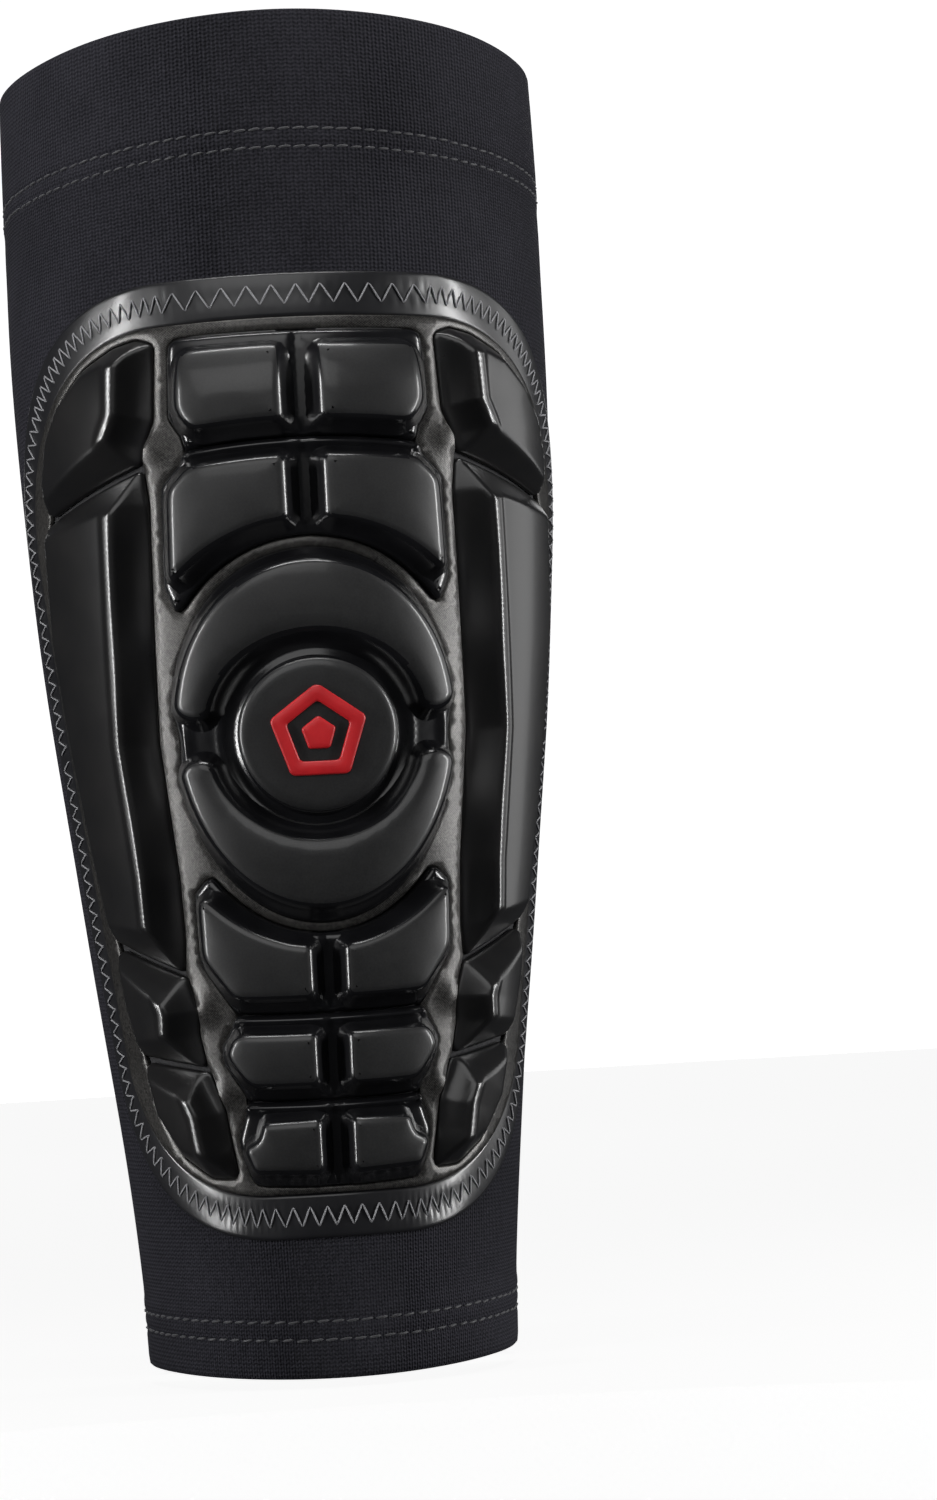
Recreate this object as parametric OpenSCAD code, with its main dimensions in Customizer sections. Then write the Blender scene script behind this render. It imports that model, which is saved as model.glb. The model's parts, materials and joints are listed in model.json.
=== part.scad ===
// Sleeve shin guard: an elastic knit sleeve with a segmented foam pad sewn on its front.
// The leg axis is Z, the lower hem lies at Z = 0 and the pad faces -Y.
// A point on the guard is given as [u, z]: u is the way round from the front centre line,
// measured on a circle of radius wrap_r, and z is the height above the lower hem.

/* [Sleeve] */
// Length of the sleeve from hem to hem
sleeve_length = 258; // [250:1:266]
// Radius of the sleeve at the lower hem
ankle_r = 36.2; // [34:0.2:38]
// Largest radius of the sleeve, over the calf
calf_r = 53.6; // [51:0.2:56]
// Radius of the sleeve at the top hem
top_r = 52.8; // [50:0.2:54]
// Height of the largest radius
calf_z = 208; // [200:1:215]
// Thickness of the knit
knit_t = 1.0; // [0.8:0.1:1.2]
// Height of the folded top cuff
top_cuff_h = 28; // [24:1:30]
// Height of the folded bottom cuff
bottom_cuff_h = 13.6; // [10:0.2:15]
// Inside radius of the top cuff
top_bore_r = 50.4; // [49.8:0.1:50.6]
// Inside radius of the bottom cuff
bottom_bore_r = 34; // [33:0.1:34.2]

/* [Pad] */
// Width of the sewn border round the pad
border_w = 8.3; // [7:0.1:9]
// Height of the flat row bases above the sleeve
base_h = 3.1; // [2.8:0.1:3.2]
// Height of the raised pads above the sleeve
pad_h = 6.8; // [6:0.1:7.5]
// Slope width of the edges of the raised pads
pad_edge = 1.2; // [0.8:0.1:1.4]
// Radius of the round centre pad
disc_r = 14.3; // [13.5:0.1:14.5]
// Circumscribed radius of the red badge on the centre pad
badge_r = 9.5; // [8:0.5:11]
// Radius of the sewing thread
thread_r = 0.28; // [0.2:0.02:0.3]

/* [Hidden] */
$fn = 96;

wrap_r = 50;
leg_curve = 1.5;
sleeve_step = 12;

// Layers on the sleeve, as heights above its outer face; 0.2 mm stands between two layers.
gap = 0.2;
border_t = 0.8;
foam_top = 1.1;
film_top = 1.7;
disc_h = 7.2;
badge_t = 0.8;

// Pad outline: quarter ellipses above and below, joined by straight sides.
top_half_flat = 25;
top_corner = [44, 47.5];
top_corner_z = 160;
low_half_flat = 25;
low_corner = [38, 37.4];
low_corner_z = 64;
ring_z = 121;
disc_z = 120.6;

// Two flex grooves: the film bends across the front at these heights.
upper_flex_z = 176;
lower_flex_z = 69;
flex_gap = 0.2;
upper_flex_y = -(leg_r(upper_flex_z) + film_top + gap);
lower_flex_y = -(leg_r(lower_flex_z) + film_top + gap);
upper_groove = [30, -12.9];
lower_groove = [20, 15.4];
far = 150;

function leg_r(z) = z < calf_z
    ? ankle_r + (calf_r - ankle_r) * pow(sin(90 * z / calf_z), leg_curve)
    : calf_r - (calf_r - top_r) * pow((z - calf_z) / (sleeve_length - calf_z), 2);

function on_leg(uz, h) =
    let (a = uz[0] / wrap_r * 180 / PI, r = leg_r(uz[1]) + h)
    [r * sin(a), -r * cos(a), uz[1]];

function mix(a, b, t) = a + (b - a) * t;
function arc(cz, ru, rz, from, to, n) =
    [for (k = [0:n]) let (a = mix(from, to, k / n)) [ru * cos(a), cz + rz * sin(a)]];
function both_sides(right_half, middle) =
    let (n = len(right_half))
    concat([for (k = [0:n - 1]) [-right_half[n - 1 - k][0], right_half[n - 1 - k][1]]],
           [middle], right_half);

// Rows of points between outlines that run from left to right, listed from the lowest up.
function grid(lines, rows) =
    let (last = len(lines) - 1, total = last * rows)
    [for (i = [0:total])
        let (s = min(floor(i / rows), last - 1), t = i / rows - s)
        [for (j = [0:len(lines[0]) - 1]) mix(lines[s][j], lines[s + 1][j], t)]];

// The same rows with every edge moved inwards by d.
function shrink(g, d) =
    let (m = len(g) - 1, n = len(g[0]) - 1)
    [for (i = [0:m])
        let (width = g[i][n][0] - g[i][0][0], mid = (g[i][n][0] + g[i][0][0]) / 2)
        [for (j = [0:n])
            let (tall = g[m][j][1] - g[0][j][1],
                 e = min(d, 0.3 * tall),
                 u = mid + (g[i][j][0] - mid) * (1 - 2 * d / width))
            [u, g[i][j][1] + e * (1 - 2 * i / m)]]];

// A solid over the outlines. Each layer is [inset, heights], heights one number per column.
module patch(lines, rows, layers) {
    base = grid(lines, rows);
    m = len(base) - 1;
    n = len(base[0]) - 1;
    top = len(layers) - 1;
    cells = (m + 1) * (n + 1);
    rim = concat([for (j = [0:n - 1]) j],
                 [for (i = [0:m - 1]) i * (n + 1) + n],
                 [for (j = [n:-1:1]) m * (n + 1) + j],
                 [for (i = [m:-1:1]) i * (n + 1)]);
    count = len(rim);
    sheets = [for (layer = layers)
        let (g = shrink(base, layer[0]))
        [for (i = [0:m]) for (j = [0:n]) on_leg(g[i][j], layer[1][j])]];
    between = [for (k = [1:1:top - 1]) for (r = rim) sheets[k][r]];
    lift = cells + count * (top - 1);
    function id(k, t) = k == 0 ? rim[t % count]
        : k == top ? lift + rim[t % count]
        : cells + (k - 1) * count + t % count;
    outer = [for (i = [0:m - 1]) for (j = [0:n - 1]) for (half = [0, 1])
        let (a = lift + i * (n + 1) + j)
        half == 0 ? [a, a + n + 1, a + n + 2] : [a, a + n + 2, a + 1]];
    inner = [for (i = [0:m - 1]) for (j = [0:n - 1]) for (half = [0, 1])
        let (a = i * (n + 1) + j)
        half == 0 ? [a, a + n + 2, a + n + 1] : [a, a + 1, a + n + 2]];
    walls = [for (k = [0:top - 1]) for (t = [0:count - 1]) for (half = [0, 1])
        half == 0 ? [id(k, t), id(k + 1, t), id(k + 1, t + 1)]
                  : [id(k, t), id(k + 1, t + 1), id(k, t + 1)]];
    polyhedron(concat(sheets[0], between, sheets[top]), concat(inner, outer, walls));
}

function level(lines, h) = [for (p = lines[0]) h];
module slab(lines, rows, low, high) {
    patch(lines, rows, [[0, level(lines, low)], [0, level(lines, high)]]);
}
module row_base(lines, rows) {
    patch(lines, rows, [
        [0, level(lines, film_top + gap)],
        [0.2, level(lines, base_h - 0.4)],
        [0.7, level(lines, base_h)]]);
}
module raised_pad(lines, rows) {
    patch(lines, rows, [
        [0, level(lines, base_h + gap)],
        [0.2, level(lines, pad_h - pad_edge)],
        [pad_edge * 0.4, level(lines, pad_h - pad_edge * 0.4)],
        [pad_edge, level(lines, pad_h)]]);
}
// A side pad with its crest near the inner edge; crest gives the height of every column.
module crested_pad(lines, rows, crest) {
    patch(lines, rows, [
        [0, level(lines, film_top + gap)],
        [0.3, [for (h = crest) h - 0.8]],
        [1.1, crest]]);
}
module mirrored() { mirror([1, 0, 0]) children(); }

// Revolved shell of the sleeve between two heights above its outer face.
module sleeve_shell(low, high, z0, z1) {
    steps = ceil((z1 - z0) / sleeve_step);
    zs = [for (k = [0:steps]) mix(z0, z1, k / steps)];
    rotate_extrude() polygon(concat(
        [for (z = zs) [leg_r(z) + low, z]],
        [for (k = [steps:-1:0]) [leg_r(zs[k]) + high, zs[k]]]));
}
module cuff(z0, z1, bore_r) {
    steps = 3;
    zs = [for (k = [0:steps]) mix(z0, z1, k / steps)];
    rotate_extrude() polygon(concat(
        [[bore_r, z0]], [for (z = zs) [leg_r(z), z]], [[bore_r, z1]]));
}
module thread_ring(z) {
    rotate_extrude() translate([leg_r(z) + thread_r + 0.1, z]) circle(thread_r, $fn = 24);
}

// The three bodies are parted by surfaces that run back from the two flex lines.
upper_parting = [
    [-far, upper_flex_z], [upper_flex_y, upper_flex_z],
    [upper_flex_y + upper_groove[0], upper_flex_z + upper_groove[1]],
    [far, upper_flex_z + upper_groove[1]]];
lower_parting = [
    [-far, lower_flex_z], [lower_flex_y, lower_flex_z],
    [lower_flex_y + lower_groove[0], lower_flex_z + lower_groove[1]],
    [far, lower_flex_z + lower_groove[1]]];
function shifted(line, dz) = [for (p = line) [p[0], p[1] + dz]];
function reversed(line) = [for (k = [len(line) - 1:-1:0]) line[k]];
module between_lines(low, high) {
    rotate([90, 0, 90])
        linear_extrude(2 * far, center = true)
            polygon(concat(low, reversed(high)));
}
module only_upper() {
    intersection() {
        children();
        between_lines(shifted(upper_parting, flex_gap), [[-far, 2 * far], [far, 2 * far]]);
    }
}
module only_middle() {
    intersection() {
        children();
        between_lines(shifted(lower_parting, flex_gap), shifted(upper_parting, -flex_gap));
    }
}
module only_lower() {
    intersection() {
        children();
        between_lines([[-far, -far], [far, -far]], shifted(lower_parting, -flex_gap));
    }
}

// Outline of the pad moved inwards by d, as a lower and an upper line with equal counts.
function corner(c, size, from, to) =
    [for (k = [0:9])
        let (a = mix(from, to, k / 9)) [c[0] + size[0] * cos(a), c[1] + size[1] * sin(a)]];
function flat_part(half, z) = [for (k = [-2.5:1:2.5]) [half * k / 3.5, z]];
function pad_top(d) = let (size = top_corner - [d, d]) concat(
    corner([-top_half_flat, top_corner_z], size, 180, 90),
    flat_part(top_half_flat, top_corner_z + size[1]),
    corner([top_half_flat, top_corner_z], size, 90, 0));
function pad_bottom(d) = let (size = low_corner - [d, d]) concat(
    corner([-low_half_flat, low_corner_z], size, 180, 270),
    flat_part(low_half_flat, low_corner_z - size[1]),
    corner([low_half_flat, low_corner_z], size, 270, 360));
module pad_sheet(d, low, high) {
    slab([pad_bottom(d), pad_top(d)], 12, low, high);
}
// The border is a closed band: loops round the pad outline, joined by their cross-section.
function side_line(d, n) =
    [for (k = [1:n - 1]) mix([top_half_flat + top_corner[0] - d, top_corner_z],
                             [low_half_flat + low_corner[0] - d, low_corner_z], k / n)];
function flipped(line) = [for (p = line) [-p[0], p[1]]];
function rim_loop(d, h) =
    [for (p = concat(pad_top(d), side_line(d, 8),
                     reversed(pad_bottom(d)), reversed(flipped(side_line(d, 8))))) on_leg(p, h)];
module border_ring() {
    low = gap;
    high = gap + border_t;
    mid = border_w / 2;
    loops = [rim_loop(0, low), rim_loop(0, high), rim_loop(mid, high),
             rim_loop(border_w, high), rim_loop(border_w, low), rim_loop(mid, low)];
    rings = len(loops);
    count = len(loops[0]);
    faces = [for (k = [0:rings - 1]) for (t = [0:count - 1]) for (half = [0, 1])
        let (a = k * count, b = ((k + 1) % rings) * count, next = (t + 1) % count)
        half == 0 ? [a + t, a + next, b + next] : [a + t, b + next, b + t]];
    polyhedron([for (loop = loops) each loop], faces);
}

// Zigzag thread: one short bar from each point of the line to the next.
stitch_pitch = 2.9;
stitch_swing = 1.4;
stitch_h = gap + border_t + thread_r + 0.1;
function stitch_line(d) = let (top = top_corner - [d, d], low = low_corner - [d, d])
    [[low_half_flat + low[0], low_corner_z], [top_half_flat + top[0], top_corner_z]];
module thread_bar(a, b) {
    v = b - a;
    length = norm(v);
    translate(a + 0.13 * v)
        rotate([0, acos(v[2] / length), atan2(v[1], v[0])])
            cylinder(h = 0.74 * length, r = thread_r, $fn = 16);
}
// Place k of n steps along one stretch; swing moves it across the line.
function side_place(t, d) = let (s = stitch_line(d)) mix(s[0], s[1], t);
function top_place(t, d) = let (size = top_corner - [d, d])
    [top_half_flat + size[0] * sin(90 * t), top_corner_z + size[1] * cos(90 * t)];
function low_place(t, d) = let (size = low_corner - [d, d])
    [low_half_flat + size[0] * sin(90 * t), low_corner_z - size[1] * cos(90 * t)];
function flat_top_place(t, d) = [top_half_flat * t, top_corner_z + top_corner[1] - d];
function flat_low_place(t, d) = [low_half_flat * t, low_corner_z - low_corner[1] + d];
function place(part, t, d) =
    part == "side" ? side_place(t, d)
    : part == "top" ? top_place(t, d)
    : part == "low" ? low_place(t, d)
    : part == "flat_top" ? flat_top_place(t, d)
    : flat_low_place(t, d);
function parting_z(line, y) =
    y < line[1][0] ? line[1][1]
    : y > line[2][0] ? line[2][1]
    : mix(line[1][1], line[2][1], (y - line[1][0]) / (line[2][0] - line[1][0]));
function body_at(p) =
    p[2] > parting_z(upper_parting, p[1]) + 1 ? "upper"
    : p[2] < parting_z(lower_parting, p[1]) - 1 ? "lower"
    : p[2] > parting_z(upper_parting, p[1]) - 1 ? "none"
    : p[2] < parting_z(lower_parting, p[1]) + 1 ? "none" : "middle";
module zigzag(part, steps, body) {
    mid = border_w / 2;
    for (k = [0:steps - 1]) {
        swing = k % 2 == 0 ? stitch_swing : -stitch_swing;
        a = on_leg(place(part, (k + 0.5) / steps, mid + swing), stitch_h);
        b = on_leg(place(part, (k + 1.5) / steps, mid - swing), stitch_h);
        if (k < steps - 1 && body_at(a) == body && body_at(b) == body) {
            thread_bar(a, b);
            mirrored() thread_bar(a, b);
        }
    }
}
module border_stitching(body) {
    color([0.62, 0.62, 0.65]) {
        zigzag("flat_top", 9, body);
        zigzag("top", 23, body);
        zigzag("side", 33, body);
        zigzag("low", 18, body);
        zigzag("flat_low", 9, body);
    }
}

// Outlines of the moulded islands.
row_1_base_lines = [
    both_sides([[6.9, 177.9], [13.8, 177.6], [20.7, 177.0], [22.2, 179.2]], [0, 178]),
    both_sides([[6.9, 196.2], [13.8, 196.2], [20.9, 196.2], [22.5, 192]], [0, 196.2])];
row_1_pad_lines = [
    [[2.5, 179.4], [8, 179.3], [13.5, 179.1], [18.2, 179], [19.9, 182]],
    [[2.5, 193.2], [8, 193.2], [13.5, 193.2], [18.6, 193.2], [19.9, 191.6]]];
row_2_base_lines = [
    arc(ring_z, 31, 37.1, 141, 39, 10),
    both_sides([[6.9, 174.4], [13.7, 173.9], [20.6, 173], [25.2, 167.4], [26.4, 149.4]],
               [0, 174.6])];
row_2_pad_lines = [
    arc(ring_z, 32.6, 38.7, 84.6, 46.6, 4),
    [[3, 173], [9.5, 172.7], [16.8, 171.3], [21.6, 165], [23.2, 151.5]]];
ring_base_lines = [
    arc(ring_z, 28.5, 34.5, 188, 352, 12),
    arc(ring_z, 28.5, 34.5, 172, 8, 12)];
upper_crescent_lines = [
    arc(disc_z, 19.6, 19.6, 163, 17, 10),
    arc(ring_z, 26, 31.9, 169, 11, 10)];
lower_crescent_lines = [
    arc(ring_z, 26, 32.8, 191, 349, 10),
    arc(disc_z, 19.6, 19.6, 197, 343, 10)];
row_3_base_lines = [
    both_sides([[7, 70.2], [14, 70.4], [21, 70.9], [24.6, 74.6], [27.4, 80.4]], [0, 70.1]),
    concat([[-26.8, 90.5]], arc(ring_z, 31, 37.1, 222, 318, 8), [[26.8, 90.5]])];
row_3_pad_lines = [
    [[3, 71.5], [9, 71.6], [15, 71.9], [19, 74], [22.4, 80.2]],
    arc(ring_z, 32.6, 38.7, 275.4, 312, 4)];
row_4_base_lines = [
    both_sides([[7, 54], [14, 54.2], [20.5, 54.8], [25, 61.2]], [0, 53.9]),
    both_sides([[7, 67.5], [14, 67.2], [20.8, 66.8], [25, 63]], [0, 67.6])];
row_4_pad_lines = [
    [[3, 55.9], [9, 56], [15.3, 56.4], [20.5, 62.2]],
    [[3, 66.8], [9, 66.7], [15.8, 66], [20.5, 63.6]]];
row_5_base_lines = [
    both_sides([[7, 37.4], [13, 37.5], [19.5, 38], [22.2, 42]], [0, 37.3]),
    both_sides([[7, 51.7], [13, 51.6], [20, 51.2], [22.7, 47.5]], [0, 51.8])];
row_5_pad_lines = [
    [[3, 39.2], [8.5, 39.2], [14.6, 39.3], [18.4, 41]],
    [[3, 50.4], [8.5, 50.4], [13.4, 50], [18.8, 45.6]]];
wing_lines = [
    [[28.8, 175.4], [31.6, 174.2], [37, 172], [43.5, 169.4], [50.4, 167.2]],
    [[25, 195.6], [27.8, 195.6], [34, 195], [41, 192], [48.4, 183.5]]];
rail_lines = [
    [[32.8, 79], [36, 79.6], [41, 81.8], [46.6, 84.6]],
    [[30.4, 121], [37, 121], [44, 121], [50.8, 121]],
    [[28.8, 169.6], [34.6, 167.6], [42.5, 164.6], [51.4, 161.8]]];
side_block_lines = [
    [[29.8, 60.8], [33, 60.4], [38.5, 61], [44.4, 62.6]],
    [[31.4, 73.4], [34.5, 74.4], [40, 77], [46, 80]]];
corner_block_lines = [
    [[24.8, 39.6], [28, 39.8], [34.5, 42.4], [43.4, 50.4]],
    [[26.8, 55.6], [30, 57], [36.5, 57.6], [44.8, 58.6]]];
wing_crest = [5.6, 7, 6.2, 4.8, 3.4];
side_crest = [4.6, 7, 5.6, 3.8];

black = [0.07, 0.07, 0.08];
charcoal = [0.13, 0.13, 0.15];
knit_grey = [0.10, 0.10, 0.12];

module row_1_base() { color(black) row_base(row_1_base_lines, 2); }
module row_1_pad() { color(charcoal) raised_pad(row_1_pad_lines, 2); }
module row_2_base() { color(black) row_base(row_2_base_lines, 2); }
module row_2_pad() { color(charcoal) raised_pad(row_2_pad_lines, 2); }
module ring_base() { color(black) row_base(ring_base_lines, 4); }
module upper_crescent_pad() { color(charcoal) raised_pad(upper_crescent_lines, 2); }
module lower_crescent_pad() { color(charcoal) raised_pad(lower_crescent_lines, 2); }
module row_3_base() { color(black) row_base(row_3_base_lines, 2); }
module row_3_pad() { color(charcoal) raised_pad(row_3_pad_lines, 2); }
module row_4_base() { color(black) row_base(row_4_base_lines, 2); }
module row_4_pad() { color(charcoal) raised_pad(row_4_pad_lines, 2); }
module row_5_base() { color(black) row_base(row_5_base_lines, 2); }
module row_5_pad() { color(charcoal) raised_pad(row_5_pad_lines, 2); }
module wing_pad() { color(charcoal) crested_pad(wing_lines, 2, wing_crest); }
module side_rail() { color(charcoal) crested_pad(rail_lines, 3, side_crest); }
module side_block() { color(charcoal) crested_pad(side_block_lines, 2, side_crest); }
module corner_block() { color(charcoal) crested_pad(corner_block_lines, 2, side_crest); }

// The centre pad is a flat-faced round pad whose back follows the ring under it.
disc_face_y = leg_r(disc_z) + disc_h;
disc_root_y = 30;
module centre_pad() {
    color(charcoal) difference() {
        translate([0, 0, disc_z]) rotate([90, 0, 0]) rotate_extrude() polygon([
            [0, disc_root_y], [disc_r, disc_root_y], [disc_r, disc_face_y - 1.6],
            [disc_r - 0.8, disc_face_y - 0.5], [disc_r - 2, disc_face_y], [0, disc_face_y]]);
        sleeve_shell(-leg_r(disc_z) / 2, base_h + gap, disc_z - 30, disc_z + 30);
    }
}
module badge() {
    color([0.78, 0.06, 0.08])
        translate([0, -disc_face_y - gap, disc_z])
            rotate([90, 0, 0]) linear_extrude(badge_t) {
                difference() {
                    rotate(90) circle(badge_r, $fn = 5);
                    rotate(90) circle(badge_r * 0.7, $fn = 5);
                }
                rotate(90) circle(badge_r * 0.36, $fn = 5);
            }
}

module sleeve() {
    color(knit_grey)
        sleeve_shell(-knit_t, 0, bottom_cuff_h + 0.1, sleeve_length - top_cuff_h - 0.1);
}
module top_cuff() {
    color(knit_grey) cuff(sleeve_length - top_cuff_h, sleeve_length, top_bore_r);
}
module bottom_cuff() { color(knit_grey) cuff(0, bottom_cuff_h, bottom_bore_r); }
module top_cuff_stitching() {
    color([0.2, 0.2, 0.22]) {
        thread_ring(sleeve_length - top_cuff_h + 1.4);
        thread_ring(sleeve_length - top_cuff_h + 4.7);
    }
}
module bottom_cuff_stitching() {
    color([0.2, 0.2, 0.22]) {
        thread_ring(bottom_cuff_h - 1.5);
        thread_ring(bottom_cuff_h - 4.8);
    }
}
// Flat seam that closes the knit tube down the back.
seam_angle = 6;
module back_seam() {
    z0 = bottom_cuff_h + 0.1;
    z1 = sleeve_length - top_cuff_h - 0.1;
    steps = ceil((z1 - z0) / sleeve_step);
    zs = [for (k = [0:steps]) mix(z0, z1, k / steps)];
    color(black) rotate([0, 0, 90 - seam_angle / 2])
        rotate_extrude(angle = seam_angle) polygon(concat(
            [for (z = zs) [leg_r(z) + 0.05, z]],
            [for (k = [steps:-1:0]) [leg_r(zs[k]) + 0.6, zs[k]]]));
}
module foam_sheet() { color([0.85, 0.8, 0.2]) pad_sheet(border_w + 0.3, gap, foam_top); }
module outer_film() { color([0.2, 0.19, 0.18]) pad_sheet(border_w + 0.3, foam_top + gap, film_top); }
module border_film() { color(black) border_ring(); }

only_upper() sleeve();  // sleeve_upper
top_cuff();
top_cuff_stitching();
only_upper() back_seam();  // back_seam_upper
only_upper() foam_sheet();  // foam_sheet_upper
only_upper() outer_film();  // outer_film_upper
only_upper() border_film();  // border_film_upper
border_stitching("upper");  // border_stitching_upper
row_1_base();
mirrored() row_1_pad();  // row_1_pad_left
row_1_pad();  // row_1_pad_right
mirrored() wing_pad();  // wing_pad_left
wing_pad();  // wing_pad_right
only_middle() sleeve();  // sleeve_middle
only_middle() back_seam();  // back_seam_middle
only_middle() foam_sheet();  // foam_sheet_middle
only_middle() outer_film();  // outer_film_middle
only_middle() border_film();  // border_film_middle
border_stitching("middle");  // border_stitching_middle
row_2_base();
mirrored() row_2_pad();  // row_2_pad_left
row_2_pad();  // row_2_pad_right
ring_base();
upper_crescent_pad();
lower_crescent_pad();
centre_pad();
badge();
row_3_base();
mirrored() row_3_pad();  // row_3_pad_left
row_3_pad();  // row_3_pad_right
mirrored() side_rail();  // side_rail_left
side_rail();  // side_rail_right
only_lower() sleeve();  // sleeve_lower
bottom_cuff();
bottom_cuff_stitching();
only_lower() back_seam();  // back_seam_lower
only_lower() foam_sheet();  // foam_sheet_lower
only_lower() outer_film();  // outer_film_lower
only_lower() border_film();  // border_film_lower
border_stitching("lower");  // border_stitching_lower
row_4_base();
mirrored() row_4_pad();  // row_4_pad_left
row_4_pad();  // row_4_pad_right
row_5_base();
mirrored() row_5_pad();  // row_5_pad_left
row_5_pad();  // row_5_pad_right
mirrored() side_block();  // side_block_left
side_block();  // side_block_right
mirrored() corner_block();  // corner_block_left
corner_block();  // corner_block_right
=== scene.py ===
"""Looks of the sleeve shin guard, built round its CAD frame.

Shapes are laid out on the sleeve as [u, z] in millimetres: u runs round the leg from the front
centre line, measured on a circle of WRAP_R, and z is the height above the lower hem. A third
number, h, is the height above the sleeve's outer face. on_leg() turns them into metres.
"""
import math

import bmesh
import bpy
import numpy as np
from mathutils import Matrix, Vector
from mathutils.geometry import delaunay_2d_cdt
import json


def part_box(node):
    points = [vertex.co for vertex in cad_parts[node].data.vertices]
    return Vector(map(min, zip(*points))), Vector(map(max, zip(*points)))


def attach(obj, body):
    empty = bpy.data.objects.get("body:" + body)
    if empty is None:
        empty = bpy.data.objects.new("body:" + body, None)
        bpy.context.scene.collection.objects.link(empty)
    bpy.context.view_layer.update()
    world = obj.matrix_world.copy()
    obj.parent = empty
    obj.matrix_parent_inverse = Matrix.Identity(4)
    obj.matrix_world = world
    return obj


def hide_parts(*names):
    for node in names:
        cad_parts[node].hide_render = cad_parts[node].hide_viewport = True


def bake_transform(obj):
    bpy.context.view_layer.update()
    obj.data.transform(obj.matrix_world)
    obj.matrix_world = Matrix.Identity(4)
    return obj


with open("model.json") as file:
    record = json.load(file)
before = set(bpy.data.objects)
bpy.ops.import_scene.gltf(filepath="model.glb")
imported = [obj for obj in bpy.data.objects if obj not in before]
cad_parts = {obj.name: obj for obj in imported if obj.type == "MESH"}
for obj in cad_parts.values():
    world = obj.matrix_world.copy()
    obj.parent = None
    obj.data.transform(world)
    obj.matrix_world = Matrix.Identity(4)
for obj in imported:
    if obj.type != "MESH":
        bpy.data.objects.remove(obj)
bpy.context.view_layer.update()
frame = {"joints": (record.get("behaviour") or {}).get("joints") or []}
rng = np.random.default_rng(7)

# ---------------------------------------------------------------- the leg and the layers on it
MM = 0.001
WRAP_R = 50.0
SLEEVE_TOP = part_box("top_cuff")[1].z / MM
TOP_CUFF_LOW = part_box("top_cuff")[0].z / MM
BOTTOM_CUFF_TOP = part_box("bottom_cuff")[1].z / MM
ANKLE_R, CALF_R, TOP_R, CALF_Z, LEG_CURVE = 36.2, 53.6, 52.8, 208.0, 1.5
KNIT_T = 1.0
BORDER_W, BORDER_T = 8.3, 0.9
FOAM_TOP, FOAM_T, FILM_TOP, FILM_T = 0.75, 0.5, 1.7, 0.9
BASE_H, PAD_H, DISC_H = 3.1, 6.8, 7.2
DISC_Z = (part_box("centre_pad")[0].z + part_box("centre_pad")[1].z) / 2 / MM
RING_Z = (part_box("ring_base")[0].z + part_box("ring_base")[1].z) / 2 / MM
MIDDLE_Z = 121.0
JOINTS = {j["name"]: Vector(j["pos_m"]) for j in frame["joints"]}


def leg_r(z):
    """Radius of the sleeve's outer face at height z."""
    z = np.asarray(z, float)
    below = ANKLE_R + (CALF_R - ANKLE_R) * np.sin(
        np.pi / 2 * np.clip(z / CALF_Z, 0, 1)) ** LEG_CURVE
    above = CALF_R - (CALF_R - TOP_R) * ((z - CALF_Z) / (SLEEVE_TOP - CALF_Z)) ** 2
    return np.where(z < CALF_Z, below, above)


def on_leg(u, z, h):
    """Points in metres for places [u, z, h] on the leg."""
    u, z, h = np.broadcast_arrays(*[np.asarray(a, float) for a in (u, z, h)])
    r = leg_r(z) + h
    angle = u / WRAP_R
    return np.stack([r * np.sin(angle), -r * np.cos(angle), z], -1).reshape(-1, 3) * MM


# ---------------------------------------------------------------- flat outlines
def arc(centre, size, start, end, n):
    """Points on an ellipse from start to end degrees."""
    a = np.radians(np.linspace(start, end, n + 1))
    return np.stack([centre[0] + size[0] * np.cos(a), centre[1] + size[1] * np.sin(a)], -1)


def rounded(corners, step=8.0):
    """A closed outline through corners (u, z, radius), each one rounded by its radius."""
    pts = np.array([c[:2] for c in corners], float)
    out = []
    for i, here in enumerate(pts):
        radius = corners[i][2]
        if radius <= 0:
            out.append(here)
            continue
        back = pts[i - 1] - here
        ahead = pts[(i + 1) % len(pts)] - here
        back_len, ahead_len = np.linalg.norm(back), np.linalg.norm(ahead)
        back, ahead = back / back_len, ahead / ahead_len
        turn = math.acos(max(-1.0, min(1.0, float(back @ ahead))))
        if turn > math.radians(178):
            out.append(here)
            continue
        reach = min(radius / math.tan(turn / 2), 0.48 * back_len, 0.48 * ahead_len)
        r = reach * math.tan(turn / 2)
        middle = back + ahead
        centre = here + middle / np.linalg.norm(middle) * (r / math.sin(turn / 2))
        a0 = math.atan2(*(here + back * reach - centre)[::-1])
        a1 = math.atan2(*(here + ahead * reach - centre)[::-1])
        sweep = (a1 - a0 + math.pi) % (2 * math.pi) - math.pi
        n = max(2, int(abs(sweep) / math.radians(step)))
        for k in range(n + 1):
            a = a0 + sweep * k / n
            out.append(centre + r * np.array([math.cos(a), math.sin(a)]))
    return np.array(out)


def spaced(loop, count):
    """count points evenly spread round the closed outline, and the outline's length."""
    closed = np.vstack([loop, loop[:1]])
    run = np.concatenate([[0], np.cumsum(np.linalg.norm(np.diff(closed, axis=0), axis=1))])
    at = np.linspace(0, run[-1], count + 1)[:-1]
    return np.stack([np.interp(at, run, closed[:, k]) for k in (0, 1)], -1), run[-1]


def resample(loop, step):
    """The closed outline with evenly spread points, about step apart."""
    length = spaced(loop, 1)[1]
    return spaced(loop, max(8, int(round(length / step))))[0]


def anticlockwise(loop):
    """The closed outline, turned round where it runs clockwise."""
    u, z = loop[:, 0], loop[:, 1]
    area = np.sum(u * np.roll(z, -1) - np.roll(u, -1) * z)
    return loop if area > 0 else loop[::-1]


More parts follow.
